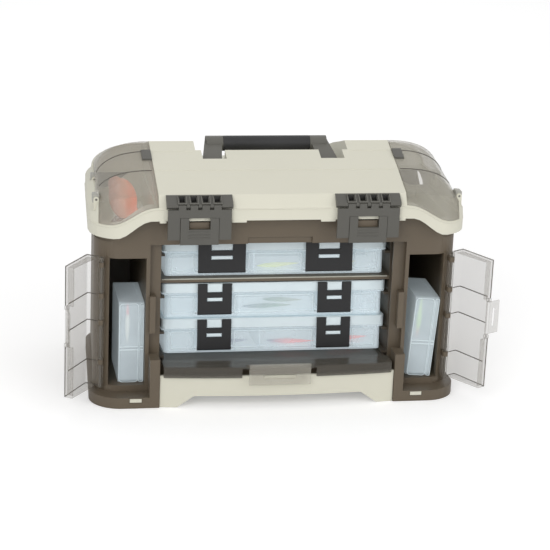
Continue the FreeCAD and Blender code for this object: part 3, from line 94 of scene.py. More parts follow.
# Sizes and colours a user would change
class TackleFinish(bpy.types.PropertyGroup):
    case_colour: bpy.props.FloatVectorProperty(
        name="Case", description="Taupe plastic of the case", subtype="COLOR",
        default=(0.116, 0.091, 0.062), min=0, max=1)
    lid_colour: bpy.props.FloatVectorProperty(
        name="Lid and base", description="Cream plastic of the lid and base", subtype="COLOR",
        default=(0.635, 0.62, 0.52), min=0, max=1)
    trim_colour: bpy.props.FloatVectorProperty(
        name="Latches", description="Grey plastic of the latches and handle arms", subtype="COLOR",
        default=(0.088, 0.085, 0.074), min=0, max=1)
    grip_colour: bpy.props.FloatVectorProperty(
        name="Grip", description="Black rubber of the handle grip", subtype="COLOR",
        default=(0.02, 0.02, 0.021), min=0, max=1)
    smoke_colour: bpy.props.FloatVectorProperty(
        name="Smoked plastic", description="Tint of the doors and hatches", subtype="COLOR",
        default=(0.25, 0.225, 0.185), min=0, max=1)
    clear_colour: bpy.props.FloatVectorProperty(
        name="Clear plastic", description="Tint of the utility boxes", subtype="COLOR",
        default=(0.70, 0.78, 0.82), min=0, max=1)


class TackleSizes(bpy.types.PropertyGroup):
    edge_round: bpy.props.FloatProperty(
        name="Edge rounding", description="Radius of the moulded edges", subtype="DISTANCE",
        default=0.0009, min=0.0, max=0.004)
    grain: bpy.props.FloatProperty(
        name="Plastic grain", description="Depth of the moulded grain", subtype="DISTANCE",
        default=0.00004, min=0.0, max=0.001)


class TackleStage(bpy.types.PropertyGroup):
    focal: bpy.props.FloatProperty(
        name="Focal length", description="Camera lens in millimetres", default=130.909, min=20, max=300)
    camera_place: bpy.props.FloatVectorProperty(
        name="Camera place", description="Where the camera stands", subtype="XYZ",
        default=(-0.424046, -2.370193, 0.9293))
    camera_turn: bpy.props.FloatVectorProperty(
        name="Camera turn", description="Yaw, pitch and roll of the camera", subtype="XYZ",
        default=(math.radians(10.5), math.radians(18.5), math.radians(2.41)))


# Shader maths as Python expressions
class Wire:
    """A shader socket that can be added, multiplied and compared like a number."""

    def __init__(self, shader, socket):
        self.shader = shader
        self.socket = socket

    def maths(self, operation, first, second=None):
        return self.shader.node("ShaderNodeMath", {"operation": operation}, {0: first, 1: second})

    def __add__(self, other):
        return self.maths("ADD", self, other)

    __radd__ = __add__

    def __sub__(self, other):
        return self.maths("SUBTRACT", self, other)

    def __mul__(self, other):
        return self.maths("MULTIPLY", self, other)

    __rmul__ = __mul__

    def __truediv__(self, other):
        return self.maths("DIVIDE", self, other)


class Shader:
    """A material's node tree, built by name and linked by value."""

    def __init__(self, name):
        self.material = bpy.data.materials.new(name)
        self.material.use_nodes = True
        self.tree = self.material.node_tree
        self.tree.nodes.clear()

    def node(self, kind, settings=None, inputs=None, output=0):
        made = self.tree.nodes.new(kind)
        for key, value in (settings or {}).items():
            if key == "stops":
                ramp = made.color_ramp
                while len(ramp.elements) < len(value):
                    ramp.elements.new(0.5)
                for stop, (place, colour) in zip(ramp.elements, value):
                    stop.position = place
                    stop.color = colour
            else:
                setattr(made, key, value)
        for key, value in (inputs or {}).items():
            if value is None:
                continue
            if isinstance(value, Wire):
                self.tree.links.new(value.socket, made.inputs[key])
            else:
                made.inputs[key].default_value = value
        return Wire(self, made.outputs[output]) if made.outputs else None

    def place(self):
        return self.node("ShaderNodeTexCoord", output=3)

    def noise(self, scale, detail=2.0, roughness=0.5, vector=None):
        return self.node("ShaderNodeTexNoise", None,
                         {"Vector": vector or self.place(), "Scale": scale, "Detail": detail,
                          "Roughness": roughness})

    def blend(self, factor, first, second):
        return self.node("ShaderNodeMix", {"data_type": "RGBA"}, {0: factor, 6: first, 7: second}, 2)

    def bump(self, height, distance, strength=1.0):
        return self.node("ShaderNodeBump", None,
                         {"Height": height, "Distance": distance, "Strength": strength})

    def surface(self, inputs):
        body = self.node("ShaderNodeBsdfPrincipled", None, inputs)
        return self.output(body)

    def output(self, body):
        self.node("ShaderNodeOutputMaterial", None, {"Surface": body})
        return self.material


def shade(colour, gain):
    return tuple(min(c * gain, 1.0) for c in colour[:3]) + (1.0,)


def moulded_plastic(name, colour, grain, roughness=0.42, mottle=0.06, grain_scale=1400.0):
    """Satin moulded plastic: fine spark-eroded grain, slight flow marks and tone drift."""
    s = Shader(name)
    drift = s.noise(9.0, 3.0)
    fine = s.noise(grain_scale, 2.0, 0.6)
    base = s.blend(drift, shade(colour, 1 - mottle), shade(colour, 1 + mottle))
    rough = drift * 0.08 + (roughness - 0.04) + fine * 0.05
    return s.surface({"Base Color": base, "Roughness": rough, "IOR": 1.49,
                      "Normal": s.bump(fine, grain)})


def smoked_plastic(name, colour, alpha, edge=0.35, roughness=0.16):
    """Smoked see-through plastic, denser where it is seen edge on."""
    s = Shader(name)
    facing = s.node("ShaderNodeLayerWeight", None, {"Blend": 0.35}, 1)
    drift = s.noise(14.0, 2.0)
    ripple = s.noise(60.0, 1.0)
    dense = facing * edge + alpha + drift * 0.03
    return s.surface({"Base Color": s.blend(drift, shade(colour, 0.94), shade(colour, 1.06)),
                      "Roughness": ripple * 0.06 + roughness, "IOR": 1.5,
                      "Alpha": dense, "Normal": s.bump(ripple, 0.0002)})


def clear_plastic(name, colour, alpha, glow=0.0, roughness=0.12):
    """Clear bluish box plastic with milky edges and faint flow lines; its glow is painted light that stands
    in for the light it scatters inside.
    """
    s = Shader(name)
    facing = s.node("ShaderNodeLayerWeight", None, {"Blend": 0.4}, 1)
    drift = s.noise(22.0, 2.0)
    ripple = s.noise(90.0, 1.0)
    dense = facing * 0.4 + alpha + drift * 0.05
    tint = s.blend(drift, shade(colour, 0.95), shade(colour, 1.05))
    return s.surface({"Base Color": tint, "Emission Color": tint, "Emission Strength": glow,
                      "Roughness": ripple * 0.06 + roughness, "IOR": 1.5,
                      "Alpha": dense, "Normal": s.bump(ripple, 0.0002)})


def grip_rubber(name, colour):
    s = Shader(name)
    fine = s.noise(900.0, 3.0, 0.7)
    worn = s.noise(30.0, 2.0)
    return s.surface({"Base Color": s.blend(worn, shade(colour, 0.8), shade(colour, 1.6)),
                      "Roughness": worn * 0.15 + 0.5, "Normal": s.bump(fine, 0.0001)})


def pin_steel(name):
    s = Shader(name)
    brushed = s.noise(700.0, 2.0)
    return s.surface({"Base Color": s.blend(brushed, (0.13, 0.12, 0.11, 1), (0.22, 0.21, 0.19, 1)),
                      "Metallic": 0.8, "Roughness": brushed * 0.15 + 0.35})


def lure_paint(name, stops, axis, low, high, mottle=0.18, glow=0.0):
    """Painted lure body: colours run from belly to back or tip to tip, with small scales; its glow is
    painted light that makes the body shine.
    """
    s = Shader(name)
    xyz = s.node("ShaderNodeSeparateXYZ", None, {0: s.place()}, axis)
    along = (xyz - low) / (high - low)
    wave = s.noise(120.0, 2.0)
    ramp = s.node("ShaderNodeValToRGB", {"stops": stops}, {0: along + (wave - 0.5) * mottle})
    scales = s.node("ShaderNodeTexVoronoi", None, {"Vector": s.place(), "Scale": 520.0})
    return s.surface({"Base Color": ramp, "Roughness": scales * 0.3 + 0.15, "Coat Weight": 0.6,
                      "Emission Color": ramp, "Emission Strength": glow,
                      "Normal": s.bump(scales, 0.0002)})


finishes = {}


def settings():
    scene = bpy.context.scene
    return scene.tackle_finish, scene.tackle_sizes, scene.tackle_stage


def make_finishes():
    look, sizes, _ = settings()
    finishes["case"] = moulded_plastic("case_taupe", look.case_colour, sizes.grain, 0.40)
    finishes["cream"] = moulded_plastic("shell_cream", look.lid_colour, sizes.grain, 0.42, 0.03)
    finishes["trim"] = moulded_plastic("trim_grey", look.trim_colour, sizes.grain, 0.38)
    # A lighter copy of the latch grey for the handle arms and the hole frames: painted light, as the same
    # plastic looks brighter where it catches the light.
    finishes["arm"] = moulded_plastic("arm_grey", shade(look.trim_colour, 1.35), sizes.grain, 0.38)
    finishes["hinge"] = moulded_plastic("hinge_grey", (0.34, 0.335, 0.30), sizes.grain, 0.36)
    finishes["rack"] = moulded_plastic("rack_plastic", shade(look.case_colour, 0.55), sizes.grain, 0.5)
    finishes["latch"] = moulded_plastic("box_latch_black", (0.012, 0.012, 0.013), sizes.grain, 0.42)
    finishes["grip"] = grip_rubber("grip_black", look.grip_colour)
    finishes["smoke"] = smoked_plastic("smoked_clear", look.smoke_colour, 0.09, 0.38)
    # A lighter copy of the smoked tint for the hatches and the front flap: painted light, where the doors
    # keep the plain tint.
    finishes["smoke_lit"] = smoked_plastic("smoked_hatch_lit", (0.50, 0.475, 0.41), 0.24, 0.3, 0.1)
    finishes["smoke_dark"] = smoked_plastic("smoked_front", shade(look.smoke_colour, 0.4), 0.5)
    # A dark opaque copy of the smoked tint for the lines along the hatch creases and the door edges and
    # ribs: painted shade.
    finishes["smoke_shade_line"] = moulded_plastic("smoked_painted_shade_line", shade(look.smoke_colour, 0.32), sizes.grain, 0.3)
    # The box bases and the small boxes glow a little: painted light; the milky lids and dividers do not.
    finishes["clear"] = clear_plastic("box_clear", look.clear_colour, 0.27, 0.3)
    finishes["clear_lid"] = clear_plastic("box_milky", shade(look.clear_colour, 1.2), 0.66)
    finishes["clear_thin"] = clear_plastic("box_divider", shade(look.clear_colour, 1.12), 0.8)
    finishes["clear_pocket"] = clear_plastic("box_pocket", shade(look.clear_colour, 0.95), 0.36, 0.12)
    finishes["pale_edge"] = moulded_plastic("rack_edge", (0.46, 0.46, 0.39), sizes.grain, 0.35)
    # Near black for the backs of the latch block's holes: painted shade in place of the holes' own depth.
    finishes["hole"] = moulded_plastic("hole_painted_shade", (0.012, 0.011, 0.01), sizes.grain, 0.6)
    finishes["steel"] = pin_steel("pin_steel")


# Modelling helpers
def deselect():
    if bpy.context.mode != "OBJECT":
        bpy.ops.object.mode_set(mode="OBJECT")
    bpy.ops.object.select_all(action="DESELECT")


def activate(piece):
    deselect()
    piece.select_set(True)
    bpy.context.view_layer.objects.active = piece
    return piece


def welded(piece, threshold):
    """Join the points of a mesh that lie within a threshold, in metres."""
    activate(piece)
    bpy.ops.object.mode_set(mode="EDIT")
    bpy.ops.mesh.select_all(action="SELECT")
    bpy.ops.mesh.remove_doubles(threshold=threshold)
    bpy.ops.object.mode_set(mode="OBJECT")
    return piece


def outward(piece):
    """Turn the faces of a closed mesh outward."""
    activate(piece)
    bpy.ops.object.mode_set(mode="EDIT")
    bpy.ops.mesh.select_all(action="SELECT")
    bpy.ops.mesh.normals_make_consistent(inside=False)
    bpy.ops.object.mode_set(mode="OBJECT")
    return piece


def modified(piece, kind, **values):
    """Add a modifier with these settings, and apply it."""
    activate(piece)
    change = piece.modifiers.new(kind, kind)
    for key, value in values.items():
        setattr(change, key, value)
    bpy.ops.object.modifier_apply(modifier=change.name)
    return piece


def settled(piece):
    """Put a piece's place, turn and scale into its mesh."""
    activate(piece)
    bpy.ops.object.transform_apply(location=True, rotation=True, scale=True)
    return piece


def finish_piece(piece, body, material, nodes=()):
    """Give a piece its finish, its body and the nodes it stands for."""
    piece.data.materials.clear()
    piece.data.materials.append(finishes[material] if isinstance(material, str) else material)
    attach(piece, body)
    if nodes:
        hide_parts(*nodes)
    return piece


def copied(node, name):
    """A copy of a node's solid with its loose triangles welded."""
    piece = bpy.data.objects.new(name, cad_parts[node].data.copy())
    bpy.context.scene.collection.objects.link(piece)
    return welded(piece, 0.000002)


def softened(piece, rounding, segments=2, angle=28.0, smooth=34.0):
    """Merge flat faces, round the edges and shade by angle."""
    activate(piece)
    bpy.ops.object.mode_set(mode="EDIT")
    bpy.ops.mesh.select_all(action="SELECT")
    bpy.ops.mesh.dissolve_limited(angle_limit=math.radians(0.6))
    bpy.ops.object.mode_set(mode="OBJECT")
    if rounding > 0:
        modified(piece, "BEVEL", width=rounding, segments=segments, limit_method="ANGLE",
                 angle_limit=math.radians(angle), use_clamp_overlap=True)
    bpy.ops.object.shade_smooth_by_angle(angle=math.radians(smooth))
    return modified(piece, "WEIGHTED_NORMAL", keep_sharp=True)


def refined(node, name, rounding, segments=2, angle=28.0, smooth=34.0):
    """A copy of a node's solid with merged faces and rounded edges."""
    return softened(copied(node, name), rounding, segments, angle, smooth)


def merged(nodes, name):
    """One welded piece from the nodes that one moulding is parted into."""
    piece = copied(nodes[0], name)
    for node in nodes[1:]:
        other = copied(node, name + "_part")
        modified(piece, "BOOLEAN", operation="UNION", solver="EXACT", object=other)
        bpy.data.objects.remove(other)
    return welded(piece, 0.00001)


def metres(*place):
    return Vector(place) * MM


def bead(name, places, radius):
    """A round bead through these places, in millimetres, closed at both ends."""
    deselect()
    bpy.ops.curve.primitive_nurbs_path_add(location=(0, 0, 0))
    path = bpy.context.object
    path.name = name
    spline = path.data.splines[0]
    spline.points.add(len(places) - len(spline.points))
    for point, place in zip(spline.points, places):
        point.co = (*(Vector(place) * MM), 1)
    spline.order_u = 3
    spline.use_endpoint_u = True
    path.data.bevel_depth = radius * MM
    path.data.bevel_resolution = 2
    path.data.resolution_u = 4
    path.data.use_fill_caps = True
    bpy.ops.object.convert(target="MESH")
    piece = outward(welded(bpy.context.object, 0.000001))
    bpy.ops.object.shade_smooth_by_angle(angle=math.radians(50))
    return piece


def rounded_block(name, low, high, rounding):
    """A block between two corners, in millimetres, with rounded edges."""
    deselect()
    low, high = Vector(low), Vector(high)
    bpy.ops.mesh.primitive_cube_add(size=MM, location=(low + high) / 2 * MM, scale=high - low)
    piece = settled(bpy.context.object)
    bpy.ops.object.mode_set(mode="EDIT")
    bpy.ops.mesh.select_all(action="SELECT")
    bpy.ops.mesh.bevel(offset=rounding * MM, segments=2, affect="EDGES")
    bpy.ops.object.mode_set(mode="OBJECT")
    bpy.ops.object.shade_smooth_by_angle(angle=math.radians(34))
    piece.name = name
    return piece


def joined(pieces, name):
    """Several closed meshes as one piece."""
    activate(pieces[0])
    for piece in pieces:
        piece.select_set(True)
    bpy.ops.object.join()
    piece = bpy.context.object
    piece.name = name
    return piece


def cast(piece, start, direction):
    """Where a straight look from a place, in millimetres, meets a piece; none where it misses."""
    hit, place, _, _ = piece.ray_cast(Vector(start) * MM, Vector(direction))
    return place / MM if hit else None


def placed(piece, turn):
    """Turn and move a piece, and settle its place into its mesh."""
    piece.matrix_world = turn @ piece.matrix_world
    return settled(piece)


def about(pivot, angle, axis):
    """A turn in degrees about an axis through a place given in millimetres."""
    centre = Matrix.Translation(Vector(pivot) * MM)
    return centre @ Matrix.Rotation(math.radians(angle), 4, axis) @ centre.inverted()


def flat_sheet(name, width, height, place, tip):
    """A flat sheet about a place, in millimetres, tipped about X by an angle in radians."""
    deselect()
    bpy.ops.mesh.primitive_plane_add(size=MM, location=metres(*place), rotation=(tip, 0, 0))
    piece = bpy.context.object
    piece.name = name
    piece.scale = (width, height, 1)
    return settled(piece)


def outline_frame(name, x0, x1, y, z0, z1, width, thick, corner=2.0):
    """A flat upright frame, in millimetres, facing the front."""
    piece = flat_sheet(name, x1 - x0, z1 - z0, ((x0 + x1) / 2, y, (z0 + z1) / 2), math.radians(90))
    bpy.ops.object.mode_set(mode="EDIT")
    bpy.ops.mesh.select_all(action="SELECT")
    bpy.ops.mesh.bevel(offset=corner * MM, segments=4, affect="VERTICES")
    bpy.ops.mesh.inset(thickness=width * MM)
    bpy.ops.mesh.delete(type="FACE")
    bpy.ops.object.mode_set(mode="OBJECT")
    modified(piece, "SOLIDIFY", thickness=thick * MM, offset=1.0)
    modified(piece, "BEVEL", width=min(thick, width) * 0.3 * MM, segments=2)
    bpy.ops.object.shade_smooth_by_angle(angle=math.radians(40))
    return piece


def drop(x, begin, end):
    """How far the lid's edge has dropped at x, for a drop between two places in from the end."""
    share = min(max((abs(x) - CASE_HALF + begin) / (begin - end), 0), 1)
    return LIP_HALF_DROP * (1 - math.cos(math.pi * share))


class TACKLE_OT_case(bpy.types.Operator):
    """Case shell, base tray, racks and shelf"""
    bl_idname = "tackle.case"
    bl_label = "Case, base and racks"

    def execute(self, context):
        _, sizes, _ = settings()
        r = sizes.edge_round
        parts = ("case_shell", "case_front", "case_floors", "case_bumper")
        body = softened(merged(parts, "case_body"), r)
        finish_piece(body, "case", "case", parts)
        self.close_corners()
        finish_piece(refined("base_tray", "base_apron", r), "case", "cream", ("base_tray",))
        for side, _ in SIDES:
            node = "rack_panel_" + side
            finish_piece(refined(node, "rack_side_" + side, r / 2), "case", "rack", (node,))
        shelf = refined("rack_shelf", "rack_shelf_board", r / 2)
        finish_piece(shelf, "case", "case", ("rack_shelf",))
        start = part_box("rack_shelf")[0].y / MM - 60
        edge = [found for x in range(-140, 141, 28)
                if (found := cast(shelf, (x, start, SHELF_EDGE_Z), (0, 1, 0)))]
        if len(edge) > 5:
            finish_piece(bead("rack_shelf_edge", edge, 0.8), "case", "pale_edge")
        for node in ("base_screws", "case_pins"):
            finish_piece(refined(node, node + "_turned", 0), "case", "steel", (node,))
        return {"FINISHED"}

    def close_corners(self):
        """The back of the header's recess, and the inner faces of the case's rounded front corners."""
        back = rounded_block("case_recess_back", (-40.0, FRONT_Y + 2.0, 200.1),
                             (40.0, FRONT_Y + 5.2, 208.5), 0.3)
        finish_piece(back, "case", "case")
        centre = CASE_HALF - CORNER_R
        foot, head = 11.0, 204.5
        stave_turn, stave_half = 9.0, 2.6
        spans = [(i, foot, head) for i in range(4, 10)]
        for i in (2, 3):
            spans += [(i, foot, BAY_FLOOR_Z), (i, BAY_HEAD_Z, head)]
        for side, sign in SIDES:
            x0, x1 = sorted((sign * 204.0, sign * 220.4))
            staves = [rounded_block("ledge", (x0, FRONT_Y + 2.6, 10.8), (x1, FRONT_Y + 17.5, 13.55), 0.2)]
            pivot = (sign * centre, FRONT_Y + CORNER_R, 0)
            for i, low, high in spans:
                stave = rounded_block("stave", (pivot[0] - stave_half, FRONT_Y + 0.5, low),
                                      (pivot[0] + stave_half, FRONT_Y + 2.9, high), 0.2)
                staves.append(placed(stave, about(pivot, sign * stave_turn * (i + 0.5), "Z")))
            finish_piece(joined(staves, "case_corner_wall_" + side), "case", "case")


class TACKLE_OT_lid(bpy.types.Operator):
    """Cream lid with its wells and hinge pins"""
    bl_idname = "tackle.lid"
    bl_label = "Lid"

    def execute(self, context):
        _, sizes, _ = settings()
        r = sizes.edge_round
        parts = ("lid_shell", "lid_rim", "lid_channel")
        crown = softened(merged(parts, "lid_crown"), r)
        finish_piece(crown, "lid", "cream", parts)
        self.dress(crown)
        for side, _ in SIDES:
            node = "hatch_well_" + side
            finish_piece(refined(node, "well_tub_" + side, r / 2), "lid", "cream", (node,))
        finish_piece(refined("lid_pins", "lid_pins_turned", 0), "lid", "steel", ("lid_pins",))
        return {"FINISHED"}

    def dress(self, crown):
        """The rolled bead along the top of the lip, and the small tabs beside the latches."""
        lip = LIP_Z - 0.8
        middle = [(LATCH_X * 0.12 * i - 61.2, LIP_FRONT_Y, lip) for i in range(11)]
        finish_piece(bead("lid_bead_middle", middle, LIP_BEAD_R), "lid", "cream")
        for crease, depth, x0, x1 in (("low", 40.0, -SHOULDER_X, SHOULDER_X),
                                      ("high_left", 82.0, -SHOULDER_X, -97.0),
                                      ("high_right", 82.0, 97.0, SHOULDER_X)):
            steps = [x0 + (x1 - x0) * i / 8 for i in range(9)]
            places = [cast(crown, (x, FRONT_Y + depth, FAR), (0, 0, -1)) for x in steps]
            finish_piece(bead("lid_crease_" + crease, places, CREASE_R), "lid", "cream")
        for side, sign in SIDES:
            places = self.lip_places(crown, sign, lip)
            if len(places) > 5:
                finish_piece(bead("lid_bead_" + side, places, LIP_BEAD_R), "lid", "cream")
            for inner, outer in ((LATCH_X - LATCH_HALF - 18, LATCH_X - LATCH_HALF),
                                 (LATCH_X + LATCH_HALF, LATCH_X + LATCH_HALF + 8)):
                x0, x1 = sorted((sign * inner, sign * outer))
                front = LIP_FRONT_Y - 0.3
                tab = rounded_block("lid_lip_tab_%s_%d" % (side, inner), (x0, front, EDGE_Z - 2.6),
                                    (x1, front + 3.0, EDGE_Z + 2.2), 0.6)
                finish_piece(tab, "lid", "cream")

    def lip_places(self, crown, sign, lip):
        """Where the bead runs on one end of the lid: along the side, then in along the dropped front."""
        places = []
        for i in range(12):
            found = cast(crown, (sign * FAR, FRONT_Y + 190 - 15.0 * i, lip - 22), (-sign, 0, 0))
            if found:
                places.append(found)
        for i in range(32):
            x = 231.0 - 2.9 * i
            found = cast(crown, (sign * x, -FAR, lip - drop(x, LIP_DROP_START, LIP_DROP_END)), (0, 1, 0))
            if found and (not places or (found - places[-1]).length > 2.5):
                places.append(found)
        return places


class TACKLE_OT_latches(bpy.types.Operator):
    """Front latches with their hinge blocks and finger tabs"""
    bl_idname = "tackle.latches"
    bl_label = "Front latches"

    def execute(self, context):
        _, sizes, _ = settings()
        r = sizes.edge_round
        for side, _ in SIDES:
            for part, body in (("block", "lid"), ("plate", "latch_" + side), ("tab", "latch_" + side)):
                node = "latch_%s_%s" % (part, side)
                finish_piece(refined(node, "catch_%s_%s" % (part, side), r / 2), body,
                             "trim", (node,))
            self.dress(side, LATCH_X * (-1 if side == "left" else 1))
        return {"FINISHED"}

    def dress(self, side, middle):
        """A raised frame round each square hole of the hinge block, in the lightened latch grey (painted
        light), and a black block at the back of each hole, painted shade.
        """
        frames = []
        shade_blocks = []
        slope = math.atan2(8.0, 12.6)
        for i in range(4):
            x = middle + (i - 1.5) * KNUCKLE_PITCH
            frame_piece = flat_sheet("hole_frame", 11.0, 13.6, (x, FRONT_Y - 17.3, EDGE_Z + 25.9), slope)
            bpy.ops.object.mode_set(mode="EDIT")
            bpy.ops.mesh.select_all(action="SELECT")
            bpy.ops.mesh.inset(thickness=1.1 * MM)
            bpy.ops.mesh.delete(type="FACE")
            bpy.ops.object.mode_set(mode="OBJECT")
            frames.append(modified(frame_piece, "SOLIDIFY", thickness=1.5 * MM, offset=0.4))
            # A black block at the back of the hole: painted shade.
            shade_blocks.append(rounded_block("hole_shade_block", (x - 3.2, FRONT_Y - 13.6, EDGE_Z + 22.4),
                                       (x + 3.2, FRONT_Y - 13.0, EDGE_Z + 28.7), 0.2))
        # The frames take the lightened latch grey (painted light); the hole backs are black, painted shade.
        finish_piece(joined(frames, "catch_frames_" + side), "lid", "arm")
        finish_piece(joined(shade_blocks, "catch_hole_backs_" + side), "lid", "hole")


class TACKLE_OT_handle(bpy.types.Operator):
    """Carry handle with its grip"""
    bl_idname = "tackle.handle"
    bl_label = "Carry handle"

    def execute(self, context):
        _, sizes, _ = settings()
        r = sizes.edge_round
        # The arms take the lightened latch grey: painted light.
        finish_piece(refined("handle_frame", "handle_arms", r), "handle", "arm",
                     ("handle_frame",))
        finish_piece(refined("handle_grip", "handle_sleeve", r), "handle", "grip",
                     ("handle_grip",))
        return {"FINISHED"}


class TACKLE_OT_hatches(bpy.types.Operator):
    """Smoked hatches at the lid's ends, with their clasps"""
    bl_idname = "tackle.hatches"
    bl_label = "Lid hatches"

    def execute(self, context):
        _, sizes, _ = settings()
        r = sizes.edge_round
        for side, _ in SIDES:
            node = "hatch_" + side
            cover = refined(node, "hatch_cover_" + side, r / 2)
            # The hatch cover takes the lighter smoke: painted light.
            finish_piece(cover, node, "smoke_lit", (node,))
            clasp = "hatch_clasp_" + side
            finish_piece(refined(clasp, "hatch_finger_" + side, r / 2), node, "trim", (clasp,))
            self.dress(cover, node, side)
        return {"FINISHED"}

    def dress(self, cover, node, side):
        """Dark lines of painted shade where the hatch steps down, and the square caps over its hinges."""
        sign = -1 if side == "left" else 1
        for line, depth in (("upper", 82.0), ("lower", 40.3)):
            places = []
            for i in range(24):
                x = sign * (153.0 + 3.0 * i)
                found = cast(cover, (x, FRONT_Y + depth, FAR), (0, 0, -1))
                if found and found.z > EDGE_Z + 24:
                    places.append(found)
            if len(places) > 5:
                # A dark line along the crease: painted shade.
                finish_piece(bead("hatch_line_%s_%s" % (line, side), places, 0.6), node,
                             "smoke_shade_line")
        caps = []
        for depth in HATCH_HINGE_DEPTHS:
            x = HATCH_HINGE[0] - END_TAPER * depth
            y = FRONT_Y + depth
            z = HATCH_HINGE[1]
            caps.append(rounded_block("cap", (x - 3.4, y - 7.0, z - 5.2), (x + 4.6, y + 7.0, z + 5.4), 1.2))
        piece = joined(caps, "hatch_barrels_" + side)
        if sign < 0:
            outward(placed(piece, MIRROR))
        finish_piece(piece, "lid", "hinge")


class TACKLE_OT_side_doors(bpy.types.Operator):
    """Smoked side doors and their slotted flaps"""
    bl_idname = "tackle.side_doors"
    bl_label = "Side doors"

    def execute(self, context):
        _, sizes, _ = settings()
        r = sizes.edge_round
        for side, _ in SIDES:
            for node in ("side_door_" + side, "side_flap_" + side):
                finish_piece(refined(node, node + "_shell", r / 2), node, "smoke", (node,))
            self.dress(side)
        return {"FINISHED"}

    def dress(self, side):
        """The edge lines and cross ribs of a door, darkened as painted shade, drawn shut on the right and
        then opened.
        """
        low, high = DOOR_LOW_Z + 0.8, DOOR_HIGH_Z - 0.8
        free, wrap = DOOR_FREE_X + 0.6, DOOR_WRAP_X - 0.6
        face = DOOR_FACE_Y + 0.6
        lines = []
        for z in (low, high):
            lines.append([(free, face, z), (free + 18, face, z), (free + 36, face, z), (wrap - 1, face, z),
                          (wrap, face + 1, z), (wrap, face + 16, z)])
        for z in (52.8, 103.8, 137.8):
            inner = DOOR_FACE_Y + 3.2
            lines.append([(free + 3, inner, z), (free + 18, inner, z), (free + 36, inner, z),
                          (wrap - 3, inner, z), (wrap - 2, inner + 1, z), (wrap - 2, inner + 12, z)])
        for z0, z1 in ((low, 84.0), (136.0, high)):
            lines.append([(free, face, z0 + (z1 - z0) * i / 5) for i in range(6)])
        pieces = [bead("door_line", line, 0.55) for line in lines]
        piece = joined(pieces, "side_door_lines_" + side)
        turn = about((*DOOR_HINGE, 0), DOOR_OPEN[side], "Z")
        if side == "left":
            turn = MIRROR @ turn
        # The dark door lines are painted shade.
        finish_piece(outward(placed(piece, turn)), "side_door_" + side, "smoke_shade_line")


class TACKLE_OT_front_door(bpy.types.Operator):
    """Smoked front door in its track, with its slotted flap"""
    bl_idname = "tackle.front_door"
    bl_label = "Front door"

    def execute(self, context):
        _, sizes, _ = settings()
        r = sizes.edge_round
        # The front flap takes the lighter hatch smoke as a painted highlight; the door takes the dark smoke.
        for node, look in (("front_door", "smoke_dark"), ("front_flap", "smoke_lit")):
            finish_piece(refined(node, node + "_shell", r / 2), node, look, (node,))
        return {"FINISHED"}


class TACKLE_OT_utility_boxes(bpy.types.Operator):
    """Clear utility boxes with their dividers and latches"""
    bl_idname = "tackle.utility_boxes"
    bl_label = "Utility boxes"

    def execute(self, context):
        _, sizes, _ = settings()
        r = sizes.edge_round
        for row in ROWS:
            body = "box_" + row
            for part, look in (("base", "clear"), ("lid", "clear_lid"), ("dividers", "clear_thin")):
                node = "%s_%s" % (body, part)
                finish_piece(refined(node, "utility_%s_%s" % (row, part), r / 3), body,
                             look, (node,))
            for side, _ in SIDES:
                node = "%s_latch_%s" % (body, side)
                finish_piece(refined(node, "utility_%s_catch_%s" % (row, side), r / 3), node,
                             "latch", (node,))
        for row, level, latch_x, half in BOX_ROWS:
            self.dress(row, level, latch_x, half)
        return {"FINISHED"}

    def dress(self, row, level, latch_x, half):
        """Raised frames on the box's front, and the pale lugs that fill each latch's notch and slot."""
        body = "box_" + row
        tilt = about((0, RACK_Y, BOX_ROWS[0][1]), -RACK_TILT, "X")
        front = RACK_Y + 3.0
        inner = latch_x - half - 4
        z0, z1 = level + 5, level + 27
        frames = [outline_frame("front_frame", -inner, inner, front, z0, z1, 1.3, 0.8)]
        for sign in (-1, 1):
            x0, x1 = sorted((sign * (latch_x + half + 4), sign * 128))
            frames.append(outline_frame("side_frame", x0, x1, front, z0, z1, 1.0, 0.7))
        piece = placed(joined(frames, "utility_%s_frames" % row), tilt)
        finish_piece(piece, body, "clear_lid")
        notch = half * 0.46 - 0.7
        face = RACK_Y - 3.4
        lugs = []
        for sign in (-1, 1):
            x = sign * latch_x
            lugs.append(rounded_block("lug", (x - notch, face, level + 32.8),
                                      (x + notch, RACK_Y + 0.6, level + 43.0), 0.8))
            lugs.append(rounded_block("lug", (x - notch, face + 0.5, level + 21.2),
                                      (x + notch, RACK_Y + 3.4, level + 25.2), 0.5))
        piece = placed(joined(lugs, "utility_%s_lugs" % row), tilt)
        finish_piece(piece, body, "clear_lid")


class TACKLE_OT_small_boxes(bpy.types.Operator):
    """Small clear boxes that stand in the end bays"""
    bl_idname = "tackle.small_boxes"
    bl_label = "Small boxes"

    def execute(self, context):
        _, sizes, _ = settings()
        r = sizes.edge_round
        for side, _ in SIDES:
            body = "small_box_" + side
            for part in ("base", "lid"):
                node = "%s_%s" % (body, part)
                finish_piece(refined(node, "pocket_%s_%s" % (side, part), r / 2), body,
                             "clear_pocket", (node,))
        for place in (("left", -193.0, FRONT_Y + 8, 0), ("right", 167.1, FRONT_Y + 4, 4)):
            self.dress(*place)
        return {"FINISHED"}

    def dress(self, side, x0, front, lean):
        """The bright rim lines round the narrow front of a small box, and its two shelf lines."""
        x1, z0, z1 = x0 + 31, 21.3, 124.3
        rims = [outline_frame("rim", x0 + 0.6, x1 - 6.5, front + 0.1, z0 + 0.6, z1 - 0.6, 0.8, 0.6, 4.5),
                outline_frame("rim", x1 - 5.8, x1 - 0.4, front + 0.1, z0 + 0.6, z1 - 0.6, 0.7, 0.5, 1.6)]
        for z in (z0 + 42.0, z0 + 46.0):
            rims.append(rounded_block("shelf_line", (x0 + 1.2, front - 0.4, z),
                                      (x1 - 1, front + 0.6, z + 1.3), 0.3))
        piece = placed(joined(rims, "pocket_%s_rims" % side), about((x1, 0, z0), lean, "Y"))
        finish_piece(piece, "small_box_" + side, "clear_lid")


